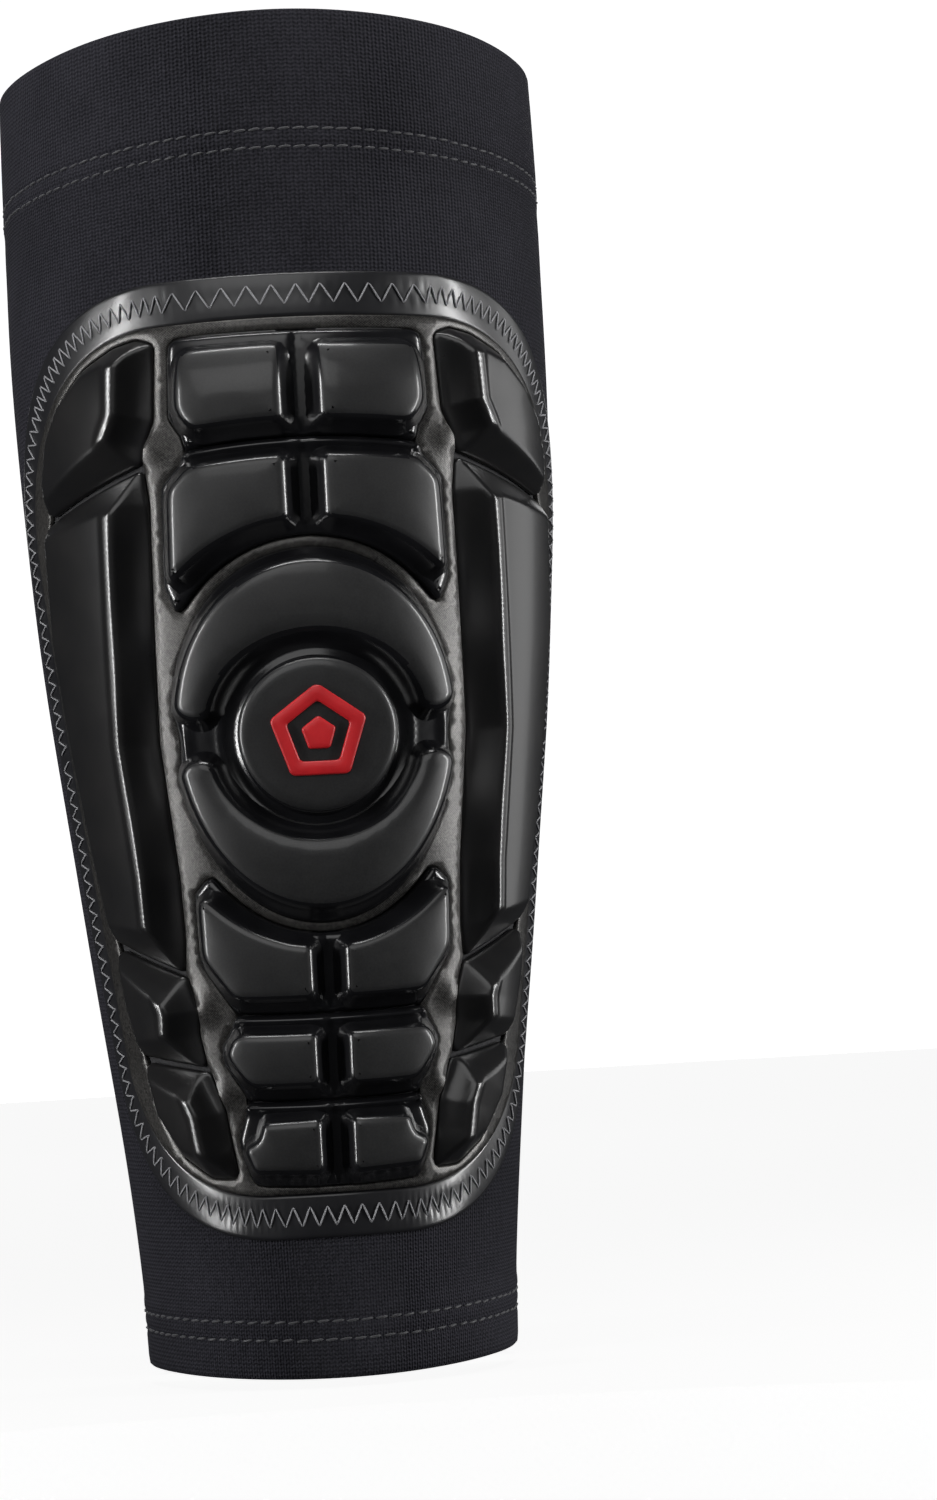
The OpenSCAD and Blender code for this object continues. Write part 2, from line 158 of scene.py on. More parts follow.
def mirrored(loop):
    """The outline on the other side of the front centre line."""
    return anticlockwise(loop * np.array([-1.0, 1.0]))


def moved_in(loop, d):
    """The outline moved inwards by d, or outwards where d is below zero."""
    ahead = np.roll(loop, -1, 0) - loop
    ahead /= np.linalg.norm(ahead, axis=1)[:, None] + 1e-12
    back = np.roll(ahead, 1, 0)
    normal = np.stack([-(ahead + back)[:, 1], (ahead + back)[:, 0]], -1)
    normal /= np.linalg.norm(normal, axis=1)[:, None] + 1e-12
    turn = np.sum(normal * np.stack([-ahead[:, 1], ahead[:, 0]], -1), axis=1)
    return loop + normal * (d / np.clip(turn, 0.6, 1))[:, None]


def inside(points, loop):
    """True for each point inside the closed outline."""
    u, z = points[:, 0][:, None], points[:, 1][:, None]
    a, b = loop, np.roll(loop, -1, 0)
    crosses = (a[:, 1] > z) != (b[:, 1] > z)
    rise = np.where(np.abs(b[:, 1] - a[:, 1]) < 1e-12, 1e-12, b[:, 1] - a[:, 1])
    left = u < (b[:, 0] - a[:, 0]) * (z - a[:, 1]) / rise + a[:, 0]
    return np.sum(crosses & left, axis=1) % 2 == 1


def distance(points, line, closed=False):
    """Shortest distance from each point to a line of points."""
    a = line if closed else line[:-1]
    b = np.roll(line, -1, 0) if closed else line[1:]
    best = np.full(len(points), 1e9)
    for p, q in zip(a, b):
        v = q - p
        t = np.clip(((points - p) @ v) / max(v @ v, 1e-12), 0, 1)
        best = np.minimum(best, np.linalg.norm(points - p - t[:, None] * v, axis=1))
    return best


def softer_min(a, b, r):
    """The smaller of two heights, with the crease between them rounded over r."""
    return np.minimum(a, b) - np.maximum(r - np.abs(a - b), 0) ** 2 / (4 * r)


# ---------------------------------------------------------------- meshes
def add_leg_uv(mesh, uv):
    """Writes the leg's own place of each vertex; a face across the back keeps u on one side."""
    corners = np.zeros(len(mesh.loops), np.int32)
    mesh.loops.foreach_get("vertex_index", corners)
    place = np.asarray(uv, float)[corners]
    starts = np.array([p.loop_start for p in mesh.polygons])
    counts = np.array([p.loop_total for p in mesh.polygons])
    owner = np.repeat(np.arange(len(starts)), counts)
    first = place[starts[owner], 0]
    whole_turn = 2 * math.pi * WRAP_R * MM
    place[:, 0] -= np.round((place[:, 0] - first) / whole_turn) * whole_turn
    layer = mesh.uv_layers.new(name="leg")
    layer.data.foreach_set("uv", place.astype(np.float32).ravel())


def make_mesh(name, co, faces, material, uv=None):
    """A smooth mesh object; uv holds one [u, z] in metres per vertex."""
    mesh = bpy.data.meshes.new(name)
    mesh.from_pydata([tuple(c) for c in co], [], faces)
    mesh.validate()
    if uv is not None:
        add_leg_uv(mesh, uv)
    mesh.polygons.foreach_set("use_smooth", [True] * len(mesh.polygons))
    mesh.materials.append(material)
    obj = bpy.data.objects.new(name, mesh)
    bpy.context.scene.collection.objects.link(obj)
    return obj


def grid_faces(rows, columns, wrap_rows=False, wrap_columns=True):
    """Four-sided faces between the neighbouring points of a grid, listed row by row."""
    last_row = rows if wrap_rows else rows - 1
    last_column = columns if wrap_columns else columns - 1
    return [(i * columns + j, i * columns + (j + 1) % columns,
             (i + 1) % rows * columns + (j + 1) % columns, (i + 1) % rows * columns + j)
            for i in range(last_row) for j in range(last_column)]


def grid_points(loop, step):
    """Staggered points that fill the outline, clear of its edge."""
    low, high = loop.min(0), loop.max(0)
    rows = []
    for k, z in enumerate(np.arange(low[1], high[1] + step, step * 0.87)):
        us = np.arange(low[0] + (k % 2) * step / 2, high[0] + step, step)
        rows.append(np.stack([us, np.full(len(us), z)], -1))
    pts = np.vstack(rows)
    pts = pts[inside(pts, loop)]
    return pts[distance(pts, loop, closed=True) > 0.5 * step] if len(pts) else pts


def triangles(points, loops, keep):
    """Triangles over the points, with every outline in loops as edges; keep() picks by centre."""
    edges, start = [], 0
    for count in loops:
        edges += [(start + k, start + (k + 1) % count) for k in range(count)]
        start += count
    _, _, faces, came_from, _, _ = delaunay_2d_cdt(
        [Vector(p) for p in points], edges, [], 0, 1e-6)
    old = [c[0] if c else -1 for c in came_from]
    faces = [[old[v] for v in f] for f in faces]
    faces = [f for f in faces if min(f) >= 0]
    centres = np.array([np.mean([points[v] for v in f], axis=0) for f in faces])
    kept = keep(centres)
    out = []
    for f, good in zip(faces, kept):
        if not good:
            continue
        a, b, c = (points[v] for v in f)
        turn = (b[0] - a[0]) * (c[1] - a[1]) - (b[1] - a[1]) * (c[0] - a[0])
        if abs(turn) > 1e-9:
            out.append(tuple(f) if turn > 0 else tuple(f[::-1]))
    return out


def split_walls(obj, wall_material, steepest):
    """Gives the wall material to the faces that lean more than steepest degrees off the leg: a glossier
    finish, and a darker colour that is partly painted shade on the steep walls.
    """
    mesh = obj.data
    mesh.materials.append(wall_material)
    centre = np.array([p.center for p in mesh.polygons])
    normal = np.array([p.normal for p in mesh.polygons])
    outward = centre * np.array([1.0, 1.0, 0.0])
    outward /= np.linalg.norm(outward, axis=1)[:, None]
    steep = np.sum(outward * normal, axis=1) < math.cos(math.radians(steepest))
    mesh.polygons.foreach_set("material_index", steep.astype(np.int32))


FOOT_STEP = 4.0


def loft(name, loop, rim, top, material, fill_step=1.3, edge_step=0.8):
    """A closed pad over an outline. rim lists (inset, kind, value) from the foot up: kind "at" is
    a height above the sleeve, lowered in step where the top is low; "under" is a drop below the
    height that top() gives there."""
    loop = anticlockwise(resample(loop, edge_step))
    n = len(loop)
    foot, full = rim[0][2], float(top(loop).max())
    rings, heights = [], []
    for inset, kind, value in rim:
        ring = moved_in(loop, inset)
        rings.append(ring)
        share = np.clip((top(ring) - foot) / (full - foot), 0.1, 1.0)
        if kind == "at":
            heights.append(foot + (value - foot) * share)
        else:
            heights.append(top(ring) - value * share)
    fill = grid_points(rings[-1], fill_step)
    below = grid_points(rings[0], FOOT_STEP)
    places = np.vstack(rings + [fill, below])
    lift = np.concatenate(heights + [top(fill) if len(fill) else [],
                                     np.full(len(below), float(heights[0].mean()))])
    last = (len(rings) - 1) * n
    faces = grid_faces(len(rings), n)
    upper = triangles(np.vstack([rings[-1], fill]), [n], lambda c: inside(c, rings[-1]))
    faces += [tuple(last + v for v in f) for f in upper]
    lower = triangles(np.vstack([rings[0], below]), [n], lambda c: inside(c, rings[0]))
    first_below = len(rings) * n + len(fill)
    faces += [tuple(v if v < n else first_below + v - n for v in f[::-1]) for f in lower]
    return make_mesh(name, on_leg(places[:, 0], places[:, 1], lift), faces, material,
                     uv=places * MM)


def sharpen(obj, degrees=50):
    """Keeps folds steeper than this as edges in the smooth shading."""
    bm = bmesh.new()
    bm.from_mesh(obj.data)
    for edge in bm.edges:
        if len(edge.link_faces) == 2 and edge.calc_face_angle(0) > math.radians(degrees):
            edge.smooth = False
    bm.to_mesh(obj.data)
    bm.free()


def tube(path, radius, sides=6):
    """Vertices and faces of a thread along a path in metres, with a radius in mm at each point."""
    path = np.asarray(path, float)
    n = len(path)
    ahead = np.gradient(path, axis=0)
    ahead /= np.linalg.norm(ahead, axis=1)[:, None] + 1e-12
    out = path * np.array([1.0, 1.0, 0.0])
    out /= np.linalg.norm(out, axis=1)[:, None] + 1e-12
    side = np.cross(ahead, out)
    side /= np.linalg.norm(side, axis=1)[:, None] + 1e-12
    out = np.cross(side, ahead)
    a = np.linspace(0, 2 * math.pi, sides, endpoint=False)
    ring = (np.cos(a)[None, :, None] * side[:, None] + np.sin(a)[None, :, None] * out[:, None])
    verts = (path[:, None] + ring * radius[:, None, None] * MM).reshape(-1, 3)
    faces = grid_faces(n, sides)
    faces.append(tuple(range(sides))[::-1])
    faces.append(tuple((n - 1) * sides + j for j in range(sides)))
    return verts, faces


def threads(name, runs, radius, material):
    """One mesh of many separate thread runs, each a list of points in metres."""
    verts, faces, base = [], [], 0
    for run in runs:
        taper = np.sin(np.linspace(0.25, math.pi - 0.25, len(run))) ** 0.35
        v, f = tube(run, radius * taper)
        verts.append(v)
        faces += [tuple(base + k for k in face) for face in f]
        base += len(v)
    verts = np.vstack(verts)
    angle = np.arctan2(verts[:, 0], -verts[:, 1])
    uv = np.stack([angle * WRAP_R * MM, verts[:, 2]], -1)
    return make_mesh(name, verts, faces, material, uv=uv)


def thick_sheet(name, points, lift, faces, depth, material):
    """A closed sheet: the faces, the same faces below them, and walls round every edge."""
    used = sorted({v for f in faces for v in f})
    new = {v: k for k, v in enumerate(used)}
    faces = [tuple(new[v] for v in f) for f in faces]
    n = len(used)
    seen = dict.fromkeys((a, b) for f in faces for a, b in zip(f, f[1:] + f[:1]))
    walls = [(b, a, a + n, b + n) for a, b in seen if (b, a) not in seen]
    under = [tuple(v + n for v in f[::-1]) for f in faces]
    p, h = points[used], lift[used]
    co = np.vstack([on_leg(p[:, 0], p[:, 1], h), on_leg(p[:, 0], p[:, 1], h - depth)])
    obj = make_mesh(name, co, faces + under + walls, material, uv=np.vstack([p, p]) * MM)
    sharpen(obj, 60)
    return obj


# ---------------------------------------------------------------- materials
class Shader:
    """Short calls for building one node material."""

    def __init__(self, name):
        self.material = bpy.data.materials.new(name)
        self.material.use_nodes = True
        self.tree = self.material.node_tree
        self.surface = self.tree.nodes["Principled BSDF"]

    def feed(self, socket, value):
        """Links another node's output to the socket, or sets a plain value on it."""
        if isinstance(value, bpy.types.NodeSocket):
            self.tree.links.new(value, socket)
        else:
            socket.default_value = value

    def node(self, kind, **inputs):
        """A new node with its inputs fed by name."""
        made = self.tree.nodes.new(kind)
        for key, value in inputs.items():
            self.feed(made.inputs[key.replace("_", " ")], value)
        return made

    def math(self, operation, a, b=0.0):
        """One step of arithmetic, on one value or on two."""
        made = self.tree.nodes.new("ShaderNodeMath")
        made.operation = operation
        self.feed(made.inputs[0], a)
        self.feed(made.inputs[1], b)
        return made.outputs[0]

    def total(self, a, a_share, b, b_share):
        """Two values added, each times its share."""
        return self.math("ADD", self.math("MULTIPLY", a, a_share),
                         self.math("MULTIPLY", b, b_share))

    def place(self):
        """Object position in metres."""
        return self.node("ShaderNodeTexCoord").outputs["Object"]

    def leg_place(self):
        """The leg's own u and z, in metres."""
        made = self.tree.nodes.new("ShaderNodeUVMap")
        made.uv_map = "leg"
        return self.node("ShaderNodeSeparateXYZ", Vector=made.outputs[0]).outputs

    def noise(self, scale, detail=3.0, roughness=0.55, vector=None):
        """Cloudy noise, with scale as its waves per metre."""
        return self.node("ShaderNodeTexNoise", Vector=vector or self.place(), Scale=scale,
                         Detail=detail, Roughness=roughness).outputs["Fac"]

    def stretched(self, along):
        """Object position scaled by along, for streaks."""
        return self.node("ShaderNodeMapping", Vector=self.place(), Scale=along).outputs[0]

    def blend(self, low, high, fac):
        """A value that runs from low to high as fac runs from 0 to 1."""
        return self.node("ShaderNodeMapRange", Value=fac, To_Min=low, To_Max=high).outputs[0]

    def colours(self, dark, light, fac, low=0.3, high=0.7):
        """A colour that runs from dark to light as fac runs from low to high."""
        ramp = self.node("ShaderNodeValToRGB", Fac=fac)
        for end, position, colour in zip(ramp.color_ramp.elements, (low, high), (dark, light)):
            end.position = position
            end.color = (*colour, 1)
        return ramp.outputs[0]

    def set(self, **values):
        """Feeds the surface's own inputs by name."""
        for key, value in values.items():
            self.feed(self.surface.inputs[key.replace("_", " ")], value)

    def bump(self, height, strength, depth):
        """Fine relief; depth is in metres."""
        made = self.node("ShaderNodeBump", Height=height, Strength=strength, Distance=depth)
        self.tree.links.new(made.outputs[0], self.surface.inputs["Normal"])


WALES, COURSE = 420, 0.00078


def knit_material(name, dark, light):
    """Compression knit: upright wales, cross courses, mottled yarn and a soft sheen."""
    s = Shader(name)
    u, z = s.leg_place()[0:2]
    turn = s.math("MULTIPLY", u, WALES / (WRAP_R * MM))
    wale = s.math("SINE", turn)
    lean = s.math("MULTIPLY", s.math("SINE", s.math("MULTIPLY", turn, 0.5)), 0.9)
    course = s.math("SINE", s.total(z, 2 * math.pi / COURSE, lean, 1.0))
    loops = s.total(wale, 0.5, course, 0.5)
    yarn = s.noise(2600, 2.0, vector=s.stretched((1, 1, 0.35)))
    cloud = s.noise(38, 3.0)
    mixed = s.total(yarn, 0.55, cloud, 0.45)
    lit = s.total(mixed, 1.0, loops, 0.16)
    s.set(Base_Color=s.colours(dark, light, lit, 0.34, 0.66),
          Roughness=s.blend(0.74, 0.9, yarn),
          Sheen_Weight=0.05, Sheen_Roughness=0.4, Sheen_Tint=(0.62, 0.6, 0.72, 1),
          Specular_IOR_Level=0.14)
    s.bump(s.total(loops, 1.0, yarn, 0.7), 0.8, 0.0002)
    return s.material


def pad_material():
    """Moulded satin skin over foam: fine grain, faint mottling and patches of rubbed roughness."""
    s = Shader("pad_skin")
    grain = s.noise(2600, 2.0)
    cloud = s.noise(60, 4.0)
    worn = s.noise(420, 5.0, 0.65)
    speckled = s.total(cloud, 0.6, grain, 0.4)
    s.set(Base_Color=s.colours((0.0095, 0.0095, 0.0098), (0.0185, 0.0185, 0.0188), speckled, 0.38, 0.62),
          Roughness=s.blend(0.36, 0.46, worn),
          Specular_IOR_Level=0.4, Coat_Weight=0.3, Coat_Roughness=0.13)
    s.bump(s.math("ADD", grain, worn), 0.14, 0.00004)
    return s.material


def side_material():
    """Moulded skin of the side pads: as on the raised pads, but blacker and glossier."""
    s = Shader("side_skin")
    grain = s.noise(2600, 2.0)
    worn = s.noise(90, 4.0, 0.5)
    s.set(Base_Color=s.colours((0.0075, 0.0075, 0.008), (0.0115, 0.011, 0.011), worn),
          Roughness=s.blend(0.26, 0.31, worn),
          Specular_IOR_Level=0.5, Coat_Weight=0.2, Coat_Roughness=0.12)
    s.bump(s.math("ADD", grain, worn), 0.07, 0.00004)
    return s.material


def base_material():
    """Glossy black moulded film between the raised pads. split_walls also gives it to the steep pad
    walls, where its darker colour is partly painted shade.
    """
    s = Shader("base_film")
    flow = s.noise(140, 3.0, 0.5)
    s.set(Base_Color=s.colours((0.0045, 0.0045, 0.0052), (0.0075, 0.0075, 0.0085), flow),
          Roughness=s.blend(0.17, 0.26, s.noise(500, 3.0)),
          Specular_IOR_Level=0.5)
    s.bump(flow, 0.05, 0.00008)
    return s.material


def field_material():
    """Satin film with the print of the fine cloth under it."""
    s = Shader("field_film")
    u, z = s.leg_place()[0:2]
    weave = s.math("MULTIPLY",
                   s.math("SINE", s.math("MULTIPLY", u, 2 * math.pi / 0.00052)),
                   s.math("SINE", s.math("MULTIPLY", z, 2 * math.pi / 0.00046)))
    grain = s.noise(2300, 3.0, 0.7)
    cloud = s.noise(75, 3.0)
    mixed = s.total(s.total(grain, 1.0, weave, 0.16), 0.75, cloud, 0.25)
    s.set(Base_Color=s.colours((0.008, 0.0076, 0.0074), (0.074, 0.071, 0.067), mixed, 0.38, 0.64),
          Roughness=s.blend(0.25, 0.40, grain), Metallic=0.45, Specular_IOR_Level=0.5)
    s.bump(mixed, 0.6, 0.00007)
    return s.material


def border_material():
    """Smooth glossy film of the sewn border."""
    s = Shader("border_film")
    flow = s.noise(120, 4.0, 0.55)
    fine = s.noise(1800, 2.0)
    s.set(Base_Color=s.colours((0.0085, 0.0085, 0.010), (0.0135, 0.0135, 0.015), flow),
          Roughness=s.blend(0.27, 0.36, s.noise(500, 3.0)),
          Specular_IOR_Level=0.5, Coat_Weight=0.2, Coat_Roughness=0.2)
    s.bump(fine, 0.05, 0.00003)
    return s.material


def thread_material(name, dark, light):
    """Twisted sewing thread."""
    s = Shader(name)
    fibre = s.noise(5200, 2.0, 0.6)
    twist = s.noise(1700, 1.0, 0.5, vector=s.stretched((1, 1, 2.5)))
    s.set(Base_Color=s.colours(dark, light, fibre),
          Roughness=s.blend(0.45, 0.62, twist), Sheen_Weight=0.15)
    s.bump(s.math("ADD", fibre, twist), 0.4, 0.00008)
    return s.material


def foam_material():
    """Fine open cells of foam, coloured far darker than the foam's own grey: painted shade for the
    creases between the pads, where the foam shows.
    """
    s = Shader("foam")
    cells = s.node("ShaderNodeTexVoronoi", Vector=s.place(), Scale=1900.0).outputs["Distance"]
    # near-black foam colour: painted shade in the creases where the film is cut away
    s.set(Base_Color=s.colours((0.010, 0.010, 0.011), (0.026, 0.026, 0.028), cells, 0.1, 0.6),
          Roughness=s.blend(0.82, 0.95, s.noise(400)))
    s.bump(cells, 0.5, 0.00015)
    return s.material


def badge_material():
    """Raised red film with a faint grain and cloudy darker patches."""
    s = Shader("badge")
    cloud = s.noise(160, 4.0)
    s.set(Base_Color=s.colours((0.40, 0.008, 0.012), (0.52, 0.014, 0.018), cloud),
          Roughness=s.blend(0.34, 0.48, s.noise(1200, 3.0)),
          Specular_IOR_Level=0.45)
    s.bump(s.noise(2400, 2.0), 0.2, 0.00005)
    return s.material


KNIT = knit_material("knit", (0.0055, 0.0055, 0.0080), (0.0230, 0.0225, 0.0290))
PAD = pad_material()
SIDE = side_material()
BASE = base_material()
FIELD = field_material()
BORDER = border_material()
BORDER_THREAD = thread_material("border_thread", (0.10, 0.10, 0.108), (0.34, 0.34, 0.355))
HEM_THREAD = thread_material("hem_thread", (0.012, 0.012, 0.015), (0.05, 0.05, 0.056))
SEAM_THREAD = thread_material("seam_thread", (0.014, 0.014, 0.017), (0.045, 0.045, 0.052))
FOAM = foam_material()
BADGE = badge_material()


# ---------------------------------------------------------------- sewn and film pieces baked in place
def slanted(joint, slope, half):
    """Two points across a flex groove whose plane falls back from the joint by slope."""
    normal = Vector((0, -slope, 1)).normalized()
    return JOINTS[joint] - normal * half * MM, JOINTS[joint] + normal * half * MM


FILM_UPPER_SLOPE, FILM_UPPER_HALF = -0.43, 3.5
FILM_LOWER_SLOPE, FILM_LOWER_HALF = 0.77, 4.0


def follow_cloth(obj):
    """Knit, border and seam: the piece's placement is baked into its mesh, the same way at every height.
    """
    low = min(v.co.z for v in obj.data.vertices) / MM
    if low > MIDDLE_Z - 2:
        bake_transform(obj)
    else:
        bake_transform(obj)


def finish_sewn(obj, nodes):
    """Hides a sewn piece's CAD nodes and bakes the piece's placement into its mesh."""
    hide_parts(*nodes)
    follow_cloth(obj)


def follow_film(obj, upper):
    """Film and foam: the piece's placement is baked into its mesh; the two points across the flex groove
    are worked out but not used.
    """
    if upper:
        start, end = slanted("upper_flex", FILM_UPPER_SLOPE, FILM_UPPER_HALF)
        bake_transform(obj)
        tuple(start)
        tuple(end)
    else:
        end, start = slanted("lower_flex", FILM_LOWER_SLOPE, FILM_LOWER_HALF)
        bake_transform(obj)
        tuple(start)
        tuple(end)


# ---------------------------------------------------------------- knit sleeve with folded cuffs
SLEEVE_COLUMNS = 224
HEM_STITCH, HEM_THREAD_R = 2.75, 0.24
SEAM_HALF, SEAM_PITCH, SEAM_THREAD_R = 2.4, 1.5, 0.17
STITCH_ROWS_TOP = (TOP_CUFF_LOW + 1.4, TOP_CUFF_LOW + 4.9)
STITCH_ROWS_BOTTOM = (BOTTOM_CUFF_TOP - 2.7, BOTTOM_CUFF_TOP - 6.2)
TOP_DIP, BOTTOM_DIP = 4.0, 1.5
TOP_DIP_FROM, BOTTOM_DIP_FROM = 206, 26
CUFF_STEP = 0.28


def hem_dip(u, z):
    """How far the courses of the knit dip at both sides of the leg, growing towards the hems."""
    top = np.clip((z - TOP_DIP_FROM) / (SLEEVE_TOP - 220), 0, 1)
    bottom = np.clip((BOTTOM_DIP_FROM - z) / 20, 0, 1)
    share = np.sin(u / WRAP_R) ** 2
    return share * (BOTTOM_DIP * bottom ** 2 * (3 - 2 * bottom)
                    - TOP_DIP * top ** 2 * (3 - 2 * top))


def cloth_relief(u, z):
    """Small rise and fall of the knit: cuffs stand proud and are drawn in at their stitches."""
    a = u / WRAP_R
    h = CUFF_STEP / (1 + np.exp(-(z - TOP_CUFF_LOW) / 0.5))
    h += CUFF_STEP / (1 + np.exp((z - BOTTOM_CUFF_TOP) / 0.5))
    for row in (*STITCH_ROWS_TOP, *STITCH_ROWS_BOTTOM):
        pull = 0.30 + 0.08 * np.sin(a * 61 + row)
        h -= pull * np.exp(-((z - row) / 0.75) ** 2)
    # slow swell of the worn sleeve, puckers below the top cuff, and waves of both rims
    h += 0.16 * np.sin(3 * a + 0.05 * z) * np.sin(0.045 * z + 1.0)
    h += 0.07 * np.sin(17 * a + 0.21 * z) * np.exp(-((z - TOP_CUFF_LOW + 3) / 9) ** 2)
    h += 0.10 * np.sin(9 * a + 1.3) * np.clip((z - SLEEVE_TOP + 14) / 14, 0, 1)
    h += 0.08 * np.sin(7 * a + 0.4) * np.clip((9 - z) / 9, 0, 1)
    return h


FOLD_R, FOLDED_LIFT = 1.1, -2.25


def sleeve_rows(low, high):
    """Heights of the outer face's rows, closer together at the stitches and cuff edges."""
    even = np.arange(low, high + 0.01, (high - low) / round((high - low) / 2.0))
    fine = [row + step for row in (*STITCH_ROWS_TOP, *STITCH_ROWS_BOTTOM)
            for step in (-1.3, -0.6, 0, 0.6, 1.3)]
    fine += [TOP_CUFF_LOW - 0.8, TOP_CUFF_LOW + 0.4, BOTTOM_CUFF_TOP + 0.8, BOTTOM_CUFF_TOP - 0.4]
    rows = sorted({round(z, 2) for z in [*even, *fine] if low <= z <= high})
    return [z for k, z in enumerate(rows) if k == 0 or z - rows[k - 1] > 0.25 or z in fine]


def rolled(angles):
    """Depth below the rim and lift of points round the rolled edge of a hem."""
    return [(FOLD_R * (1 - math.sin(a)), -FOLD_R * (1 - math.cos(a))) for a in angles]


def sleeve_profile(low, high):
    """Closed section of the knit as (height on the leg, lift above the sleeve's face)."""
    has_bottom, has_top = low < 1, high > SLEEVE_TOP - 1
    angles = (0, math.pi / 6, math.pi / 3, math.pi / 2)
    outer, inner = [], []
    rows = sleeve_rows(low, high)
    if has_bottom:
        outer += rolled(angles[:0:-1])
        rows = [z for z in rows if z > FOLD_R + 0.1]
    outer += [(z, 0.0) for z in rows if z < SLEEVE_TOP - FOLD_R - 0.1]
    if has_top:
        outer += [(SLEEVE_TOP - depth, lift) for depth, lift in rolled(angles)]
        inner += [(SLEEVE_TOP - FOLD_R * 0.5, -2.05), (SLEEVE_TOP - FOLD_R, FOLDED_LIFT)]
        inner += [(z, FOLDED_LIFT) for z in np.arange(SLEEVE_TOP - 4, TOP_CUFF_LOW + 1, -3.5)]
        inner += [(TOP_CUFF_LOW + 0.4, -2.2), (TOP_CUFF_LOW, -1.9), (TOP_CUFF_LOW - 0.1, -1.1)]
    start = TOP_CUFF_LOW - 3 if has_top else high
    stop = BOTTOM_CUFF_TOP + 3 if has_bottom else low
    count = max(2, int((start - stop) / 3.0))
    inner += [(z, -KNIT_T) for z in np.linspace(start, stop, count)]
    if has_bottom:
        inner += [(BOTTOM_CUFF_TOP + 0.1, -1.1), (BOTTOM_CUFF_TOP, -1.9),
                  (BOTTOM_CUFF_TOP - 0.4, -2.2)]
        inner += [(z, FOLDED_LIFT) for z in np.arange(BOTTOM_CUFF_TOP - 3, 2.4, -3.0)]
        inner += [(FOLD_R, FOLDED_LIFT), (FOLD_R * 0.5, -2.05)]
    return np.array(outer + inner)


def sleeve(name, low, high, nodes):
    """One half of the knit sleeve, with its hem folded inwards."""
    profile = sleeve_profile(low, high)
    rows = len(profile)
    u = np.linspace(-math.pi, math.pi, SLEEVE_COLUMNS, endpoint=False) * WRAP_R
    uu = np.repeat(u[None], rows, 0)
    zz = np.repeat(profile[:, 0:1], SLEEVE_COLUMNS, 1)
    hh = profile[:, 1:2] + cloth_relief(uu, zz)
    faces = grid_faces(rows, SLEEVE_COLUMNS, wrap_rows=True)
    uv = np.stack([uu.ravel(), zz.ravel()], -1) * MM
    obj = make_mesh(name, on_leg(uu, zz + hem_dip(uu, zz), hh), faces, KNIT, uv=uv)
    sharpen(obj)
    finish_sewn(obj, nodes)


def hem_stitches(name, rows, node, body):
    """Rows of short cover stitches that lie in the groove they pull into the knit."""
    runs = []
    for k, row in enumerate(rows):
        count = int(2 * math.pi * float(leg_r(row)) / HEM_STITCH)
        for i in range(count):
            jitter = rng.uniform(-0.08, 0.08, 2)
            u0 = ((i + 0.5 * k) / count - 0.5) * 2 * math.pi * WRAP_R + jitter[0]
            half = 0.40 * 2 * math.pi * WRAP_R / count
            t = np.linspace(-1, 1, 6)
            u = u0 + half * t
            z = row + jitter[1] + 0.12 * t
            h = cloth_relief(u, z) + 0.26 * (1 - t ** 4) - 0.12
            runs.append(on_leg(u, z + hem_dip(u, z), h))
    obj = threads(name, runs, HEM_THREAD_R, HEM_THREAD)
    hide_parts(node)
    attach(obj, body)


def back_seam(name, low, high, nodes):
    """Flat seam down the back: a ladder of thread over the butted cloth edges."""
    runs = []
    centre = math.pi * WRAP_R
    lean = 0.55
    for z in np.arange(low + 0.8, high - 0.6, SEAM_PITCH):
        for s in (-1, 1):
            t = np.linspace(0, 1, 5)
            u = centre + SEAM_HALF * (1 - 2 * t)
            zz = z + lean * s * (t - 0.5) + 0.35 * (s + 1)
            h = cloth_relief(u, zz) + 0.24 + 0.1 * np.sin(math.pi * t)
            runs.append(on_leg(u, zz, h))
    for edge in (-SEAM_HALF, 0.0, SEAM_HALF):
        for z in np.arange(low + 0.3, high - 1.6, SEAM_PITCH):
            t = np.linspace(0, 1, 4)
            u = centre + edge + 0.12 * np.sin(z)
            h = cloth_relief(u, z + 1.25 * t) + 0.36 + 0.1 * np.sin(math.pi * t)
            runs.append(on_leg(np.full(4, u), z + 1.25 * t, h))
    obj = threads(name, runs, SEAM_THREAD_R, SEAM_THREAD)
    finish_sewn(obj, nodes)


# ---------------------------------------------------------------- pad outline and border
TOP_FLAT, TOP_CORNER, TOP_Z = 25.0, np.array([44.0, 47.5]), 160.0
LOW_FLAT, LOW_CORNER, LOW_Z = 17.0, np.array([46.0, 37.4]), 64.0


def pad_edge(count):
    """The pad's edge, clockwise from its left side, with the inward direction at each point."""
    parts = [
        arc((-TOP_FLAT, TOP_Z), TOP_CORNER, 180, 90, 60),
        arc((TOP_FLAT, TOP_Z), TOP_CORNER, 90, 0, 60),
        arc((LOW_FLAT, LOW_Z), LOW_CORNER, 0, -90, 60),
        arc((-LOW_FLAT, LOW_Z), LOW_CORNER, -90, -180, 60),
    ]
    line, length = spaced(np.vstack(parts), count)
    ahead = np.roll(line, -2, 0) - np.roll(line, 2, 0)
    ahead /= np.linalg.norm(ahead, axis=1)[:, None]
    return line, np.stack([ahead[:, 1], -ahead[:, 0]], -1), length


EDGE_COUNT, BORDER_COUNT = 3000, 900
EDGE, INWARD, EDGE_LENGTH = pad_edge(EDGE_COUNT)


